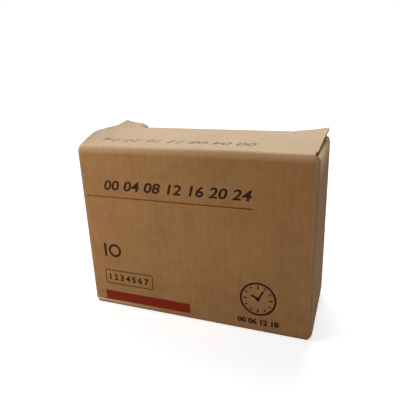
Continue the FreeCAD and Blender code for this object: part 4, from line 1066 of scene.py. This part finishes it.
def canParts(low, high, middle, foot, head, top, hub, turns, scoreHalf, down, score):
    # A can in its sleeve, its lid scored across
    ends, centre = ((high[0] - low[0]) / 2, low[2], high[2]), middle[:2]
    lidPoints = profile(*ends, (), top) + [(hub[0], high[2] - hub[1])]
    parts = [turnedBody(profile(*ends, foot, head), centre, steps=48)]
    parts.append(turnedBody(lidPoints, centre, steps=48, number=1))
    for turn in np.radians(turns):
        way = np.array([np.cos(turn), np.sin(turn), 0])
        path = [*centre, high[2] - down] + np.array([[-scoreHalf], [0], [scoreHalf]]) * way
        parts.append(bentBar(path, (-way[1], way[0], 0), *score, 1))
    return parts


varistor = {"steps": 22, "tip": 0.05}


def varistorParts(low, high, middle, steps, tip):
    # A dipped disc: at the share r of its radius half its thickness is h * (1 - r^4)^(1/2)
    half, turn = (high - low) / 2, np.linspace(-halfPi, halfPi, steps)
    radius = np.maximum(half[2] * np.cos(turn) ** 0.5, tip)
    return [turnedBody(stack(radius, middle[0] + half[0] * np.sin(turn)), middle[1:], "x", 48)]


coil = {
    "pitch": 0.42, "depth": 0.16, "wound": 4.15, "flange": 0.9, "wide": 4.75, "bore": 2.85, "ease": 0.15,
    "core": 1.75, "coreOut": 0.6, "coreIn": 0.5, "coreTail": 0.45,
}


def coilParts(
        low, high, middle, pitch, depth, wound, flange, wide, bore, ease, core, coreOut, coreIn, coreTail):
    # Bobbin with wound wire: radius(x) = r - depth * (1 - |sin(pi x / pitch)|)
    end, centre = high[0] - coreOut, middle[1:]
    x = np.arange(low[0] + flange, end - flange, pitch / 6)
    radius = wound - depth * (1 - np.abs(np.sin(np.pi * (x - x[0]) / pitch)))
    rim = ((0, ease), (ease, 0), (bore, 0))
    rims = [profile(wide, start, start + flange, rim[::-1], rim) for start in (low[0], end - flange)]
    stem = profile(core, end - coreIn, high[0], ((coreTail, 0), (0, 0)), rim[:2])
    return [
        turnedBody(stack(radius, x), centre, "x", 40),
        *(turnedBody(points, centre, "x", 48, 1) for points in rims), turnedBody(stem, centre, "x", 32, 2)]


header = {
    "pins": 5, "pitch": 1.8, "half": 0.88, "blockHigh": 2.5, "corner": 0.3, "ease": 0.15, "pin": 0.32,
    "pinEnd": ((0.02, 0), (0, 0.3)),
}


def headerParts(low, high, middle, pins, pitch, half, blockHigh, corner, ease, pin, pinEnd):
    parts = []
    for y in middle[1] + (np.arange(pins) - 2) * pitch:
        for start in (low[2], high[2] - blockHigh):
            ends = (low[0], y - half, start), (high[0], y + half, start + blockHigh)
            parts.append(roundBlock(*ends, corner, ease))
        points = profile(pin, low[2], high[2], pinEnd, pinEnd[::-1])
        parts.append(turnedBody(points, (middle[0], y), steps=4, number=1))
    return parts


screw = {
    "radius": 2.9, "headHigh": 2.6, "headFoot": ((0.4, 0), (0, 0.25)), "slotHalf": 0.45, "slotDepth": 1.2,
    "crown": ((0, 1.2), (0, 0.3), (0.12, 0.12), (0.35, 0)), "slope": 0.3, "shank": 1.7, "pitch": 0.7,
    "depth": 0.22, "tip": 0.7, "steps": 28,
}


def screwParts(
        low, high, middle, radius, headHigh, headFoot, slotHalf, slotDepth, crown, slope, shank, pitch,
        depth, tip, steps):
    # Head: a disc with two half-moons that leave the slot between them. Thread: radius falls by
    # depth * |saw((z / pitch) - turn / 2 pi)|, so that the ridge climbs as it goes round
    headLow, (x, y) = high[2] - headHigh, middle[:2]
    parts = [turnedBody(profile(radius, headLow, high[2], headFoot, ((0, slotDepth),)), (x, y), steps=48)]
    start = np.arcsin(slotHalf / radius)
    turn = np.linspace(start, np.pi - start, 24)
    for side in (1, -1):
        rings = []
        for inset, down in crown:
            reach = radius - inset
            across = np.maximum(reach * np.sin(turn), slotHalf + inset * slope)
            rings.append(stack(x + reach * np.cos(turn), y + side * across, high[2] - down)[::side])
        parts.append(ringsBody(np.array(rings)))
    z = np.arange(low[2], headLow + 0.05, pitch / 8)[:, None]
    around = 2 * np.pi * np.arange(steps) / steps
    thread = shank - depth * np.abs((z / pitch - around / (2 * np.pi)) % 1 * 2 - 1)
    thread[0] *= tip
    return parts + [ringsBody(stack(x + thread * np.cos(around), y + thread * np.sin(around), z))]


resetPin = {
    "radius": 0.9, "wide": 1.3, "flangeLow": 64.7, "flangeHigh": 65.5, "crown": 0.25, "bow": 0.6,
    "foot": 0.1, "ease": 0.05,
}


def resetParts(low, high, middle, radius, wide, flangeLow, flangeHigh, crown, bow, foot, ease):
    # A slim pin with a crowned tip, kept in by its flange
    body = profile(radius, low[2], flangeLow, ((foot, 0), (0, foot)), ((0, 0),))
    shoulder = ((0, ease), (ease, 0), (wide - radius, 0))
    body += profile(wide, flangeLow, flangeHigh, ((ease, 0), (0, ease)), shoulder)
    return [turnedBody(np.concatenate([body, dome(radius, high[2], crown, bow, 7)]), middle[:2])]


led = {"foot": ((0.05, 0), (0, 0.05), (0, 0.9)), "collar": 1.0, "lens": 0.94, "tip": 0.6, "bow": 0.7}


def ledParts(low, high, middle, foot, collar, lens, tip, bow):
    # A round lens with a collar at its foot
    radius = (high[0] - low[0]) / 2
    points = profile(radius, low[2], high[2], foot) + [(radius * lens, low[2] + collar)]
    points = np.concatenate([points, dome(radius * lens, high[2], tip, bow, 12)])
    return [turnedBody(points, middle[:2], steps=48)]


leaflet = {"half": 14.85, "leaf": 0.3, "pitch": 0.6, "bow": 0.12, "firstX": 0.175, "lastX": 0.16}


def leafletParts(low, high, middle, half, leaf, pitch, bow, firstX, lastX):
    # A sheet folded in three: straight runs joined by half rounds, p(s), thickened by its normal
    run = np.linspace(-half, half, 24)
    turn = np.linspace(-halfPi, halfPi, 9)[1:-1]
    first = high[0] - firstX + bow * (np.cos(halfPi * run / half) - 1)
    x, y = first[0] - pitch / 2 * np.sin(turn), half + pitch / 2 * np.cos(turn)
    path = np.concatenate([
        stack(first, run), stack(x - pitch / 2, y), stack(first - pitch, run[::-1]),
        stack(x - 1.5 * pitch, -y), stack(first - 2 * pitch, run)])
    path[:, 0] = np.maximum(path[:, 0], low[0] + lastX)
    right, up = tangents(path).T
    normal = stack(up, -right) * leaf / 2
    z = np.linspace(low[2], high[2], 30)
    sheets = [stack(*edge.T[..., None], z) for edge in (path + normal, path - normal)]
    return [boardFaces(*sheets, stack(wayAlong(path)[:, None], z) * mm)]


# Every made piece: its node, builder, values, slot, the angle from which edges are sharp, and its finishes
made = {
    "controlChip": ("control_chip", chipParts, chip, "chip", 30, "chipPlastic", "tinPlate"),
    "quartzCrystal": ("quartz_crystal", crystalParts, crystal, "bright_metal", 35, "tinPlate"),
    "backupBattery": ("backup_battery", batteryParts, coinCell, "bright_metal", 35, "tinPlate"),
    "filmCapacitor": (
        "film_capacitor", filmParts, filmCase, "film_plastic", 40,
        "filmPlastic", "varistorCoat", "tinPlate"),
    "filterCapacitor": ("filter_capacitor", canParts, filterCan, "can", 35, "sleeve", "tinPlate"),
    "surgeVaristor": ("surge_varistor", varistorParts, varistor, "varistor", 60, "varistorCoat"),
    "relayCoil": (
        "relay_coil", coilParts, coil, "coil_tape", 50, "copperWire", "headerPlastic", "zincSteel"),
    "boardHeader": ("board_header", headerParts, header, "dark_plastic", 30, "headerPlastic", "tinPlate"),
    **{f"terminalScrew{i}": (f"terminal_screw_{i}", screwParts, screw, "steel", 45, "zincSteel")
       for i in terminals},
    "resetPin": ("reset_button", resetParts, resetPin, "reset_plastic", 50, "resetPlastic"),
    "indicatorLed": ("indicator_led", ledParts, led, "led", 50, "redLed"),
    "instructionLeaflet": ("instruction_leaflet", leafletParts, leaflet, "paper", 40, *["leafletPaper"] * 3),
}
moving = {"resetPin": "reset_button_body", **{f"terminalScrew{i}": f"screw_{i}" for i in terminals}}
for name, (node, build, values, slot, sharp, *materials) in made.items():
    showMesh(name, build(*boxOf(node), **values), materials, slot, node, moving.get(name, root), sharp)
print("timer pieces made")


# Marks on the timer: digits of the display, names of the keys, numbers of the terminals
marks = {
    "digit": shade(30, 34, 30), "print": shade(40, 44, 52), "worn": shade(120, 124, 122),
    "digitPlaces": (-11.2, -5.4, 1.6, 7.4), "digitBase": 6.2, "dots": (2.2, 5.2), "dotSpan": (-0.45, 0.35),
    "dotHalf": 0.4, "daysHalf": 10.5, "daysBase": 2.9, "daysHigh": 1.6,
    "keys": ("CLOCK", "PROG", "MAN", "DAY", "HOUR", "MIN"), "keyUp": 3.45, "keyWide": 0.95, "keyHigh": 1.15,
    "shoulder": 48.6, "numberInwards": 5.6, "numberWide": 1.2, "numberHigh": 1.8,
    "proud": 0.02, "proudOnGlass": 0.03,
}
segment = {"wide": 4.0, "high": 7.4, "gap": 0.35, "half": 0.42}


def plainInk(name, colour):
    finish = Finish(name, Roughness=0.5, Specular_IOR_Level=0.3)
    finish.paint(marks[colour], (finish.noise(1800).spread(0.3, 0.7, 0.0, 0.25), marks["worn"]))


plainInk("digitInk", "digit")
plainInk("printInk", "print")


def onTimer(level):
    # The timer is read with up along +X and right along -Y: (right, up) becomes (up, -right, level)
    return lambda points: stack(points[:, 1], -points[:, 0], level)


def segmentDigit(value, left, base, wide, high, gap, half):
    # Seven straight strokes, a to f round from the top and g in the middle; each digit names its dark ones
    middle = high / 2
    strokes = {
        "a": (gap, high, wide - gap, high), "b": (wide, middle + gap, wide, high - gap),
        "c": (wide, gap, wide, middle - gap), "d": (gap, 0, wide - gap, 0), "e": (0, gap, 0, middle - gap),
        "f": (0, middle + gap, 0, high - gap), "g": (gap, middle, wide - gap, middle),
    }
    dark = {"0": "adfbec", "1": "bc", "2": "abged"}[value]
    return [line(*(np.array(strokes[name]) + [left, base, left, base]), half) for name in dark]


def displayDigits():
    low, high, middle = boxOf("display_glass")
    right, base, half = -middle[1], low[0] + marks["digitBase"], marks["daysHalf"]
    shapes = []
    for value, offset in zip("1200", marks["digitPlaces"]):
        shapes += segmentDigit(value, right + offset, base, **segment)
    start, stop = marks["dotSpan"]
    for up in marks["dots"]:
        shapes.append(line(right + start, base + up, right + stop, base + up, marks["dotHalf"]))
    days, under = "1  2  3  4  5  6  7", low[0] + marks["daysBase"]
    shapes.append(letters(days, right - half, under, 2 * half, marks["daysHigh"]))
    printed("displayDigits", shapes, onTimer(high[2] + marks["proudOnGlass"]), "digitInk", slot="display")


def housingMarks():
    keys, numbers = [], []
    for name, word in zip(buttonNames, marks["keys"]):
        middle, wide = boxOf(name)[2], marks["keyWide"] * len(word)
        keys.append(letters(word, -middle[1] - wide / 2, middle[0] + marks["keyUp"], wide, marks["keyHigh"]))
    wide, high = marks["numberWide"], marks["numberHigh"]
    for number in terminals:
        x, y, z = boxOf(f"terminal_screw_{number}")[2]
        base = x - np.sign(x) * marks["numberInwards"] - high / 2
        numbers.append(letters(str(number), -y - wide / 2, base, wide, high, bold=0.01))
    top = boxOf("front_housing")[1][2]
    for name, shapes, level in (("keyNames", keys, top), ("terminalNumbers", numbers, marks["shoulder"])):
        printed(name, shapes, onTimer(level + marks["proud"]), "printInk", slot="housing_plastic")


displayDigits()
housingMarks()
print("marks laid on")


# Stage: a pale floor that keeps the shadow and fades to white, and white all round for the camera and gloss
stage = {
    "floorSize": 12.0, "floorColour": (0.54, 0.54, 0.54, 1), "floorGlow": 0.7, "fade": (0.35, 1.1),
    "white": (1, 1, 1, 1), "ambient": 0.122, "aim": (0, 0, 0.04),
}
lamps = {
    "key": {"place": (-0.35, 1.1, 1.6), "size": 1.4, "power": 38.0},
    "left": {"place": (-0.29, -0.19, 0.17), "size": 0.22, "power": 1.15},
    "right": {"place": (0.9, -0.25, 0.45), "size": 0.5, "power": 0.2},
}


def makeFloor():
    half = stage["floorSize"] / 2
    mesh = bpy.data.meshes.new("floor")
    corners = [(-half, -half, 0), (half, -half, 0), (half, half, 0), (-half, half, 0)]
    mesh.from_pydata(corners, [], [(0, 1, 2, 3)])
    finish = Finish("floor", Roughness=0.9, Emission_Color=stage["white"])
    finish.paint(stage["floorColour"])
    x, y, z = finish.axes()
    glow = finish.maths("SQRT", x * x + y * y).spread(*stage["fade"], stage["floorGlow"], 1.0)
    finish.feed(finish.shader.inputs["Emission Strength"], finish.seen() * glow)
    mesh.materials.append(finish.material)
    link("floor", mesh)


def makeWorld():
    world = bpy.data.worlds.new("world")
    bpy.context.scene.world = world
    world.use_nodes = True
    background = world.node_tree.nodes["Background"].inputs
    background["Color"].default_value = stage["white"]
    sky = Nodes(world.node_tree)
    sky.feed(background["Strength"], sky.seen().spread(0, 1, stage["ambient"], 1))


def makeLamp(name, place, size, power):
    lamp = bpy.data.lights.new(name, "AREA")
    lamp.size, lamp.energy = size, power
    holder = link(name, lamp)
    holder.location, holder.rotation_mode = place, "QUATERNION"
    holder.rotation_quaternion = (Vector(place) - Vector(stage["aim"])).to_track_quat("Z", "Y")


makeFloor()
makeWorld()
for name, lamp in lamps.items():
    makeLamp(name, **lamp)
print("stage set")
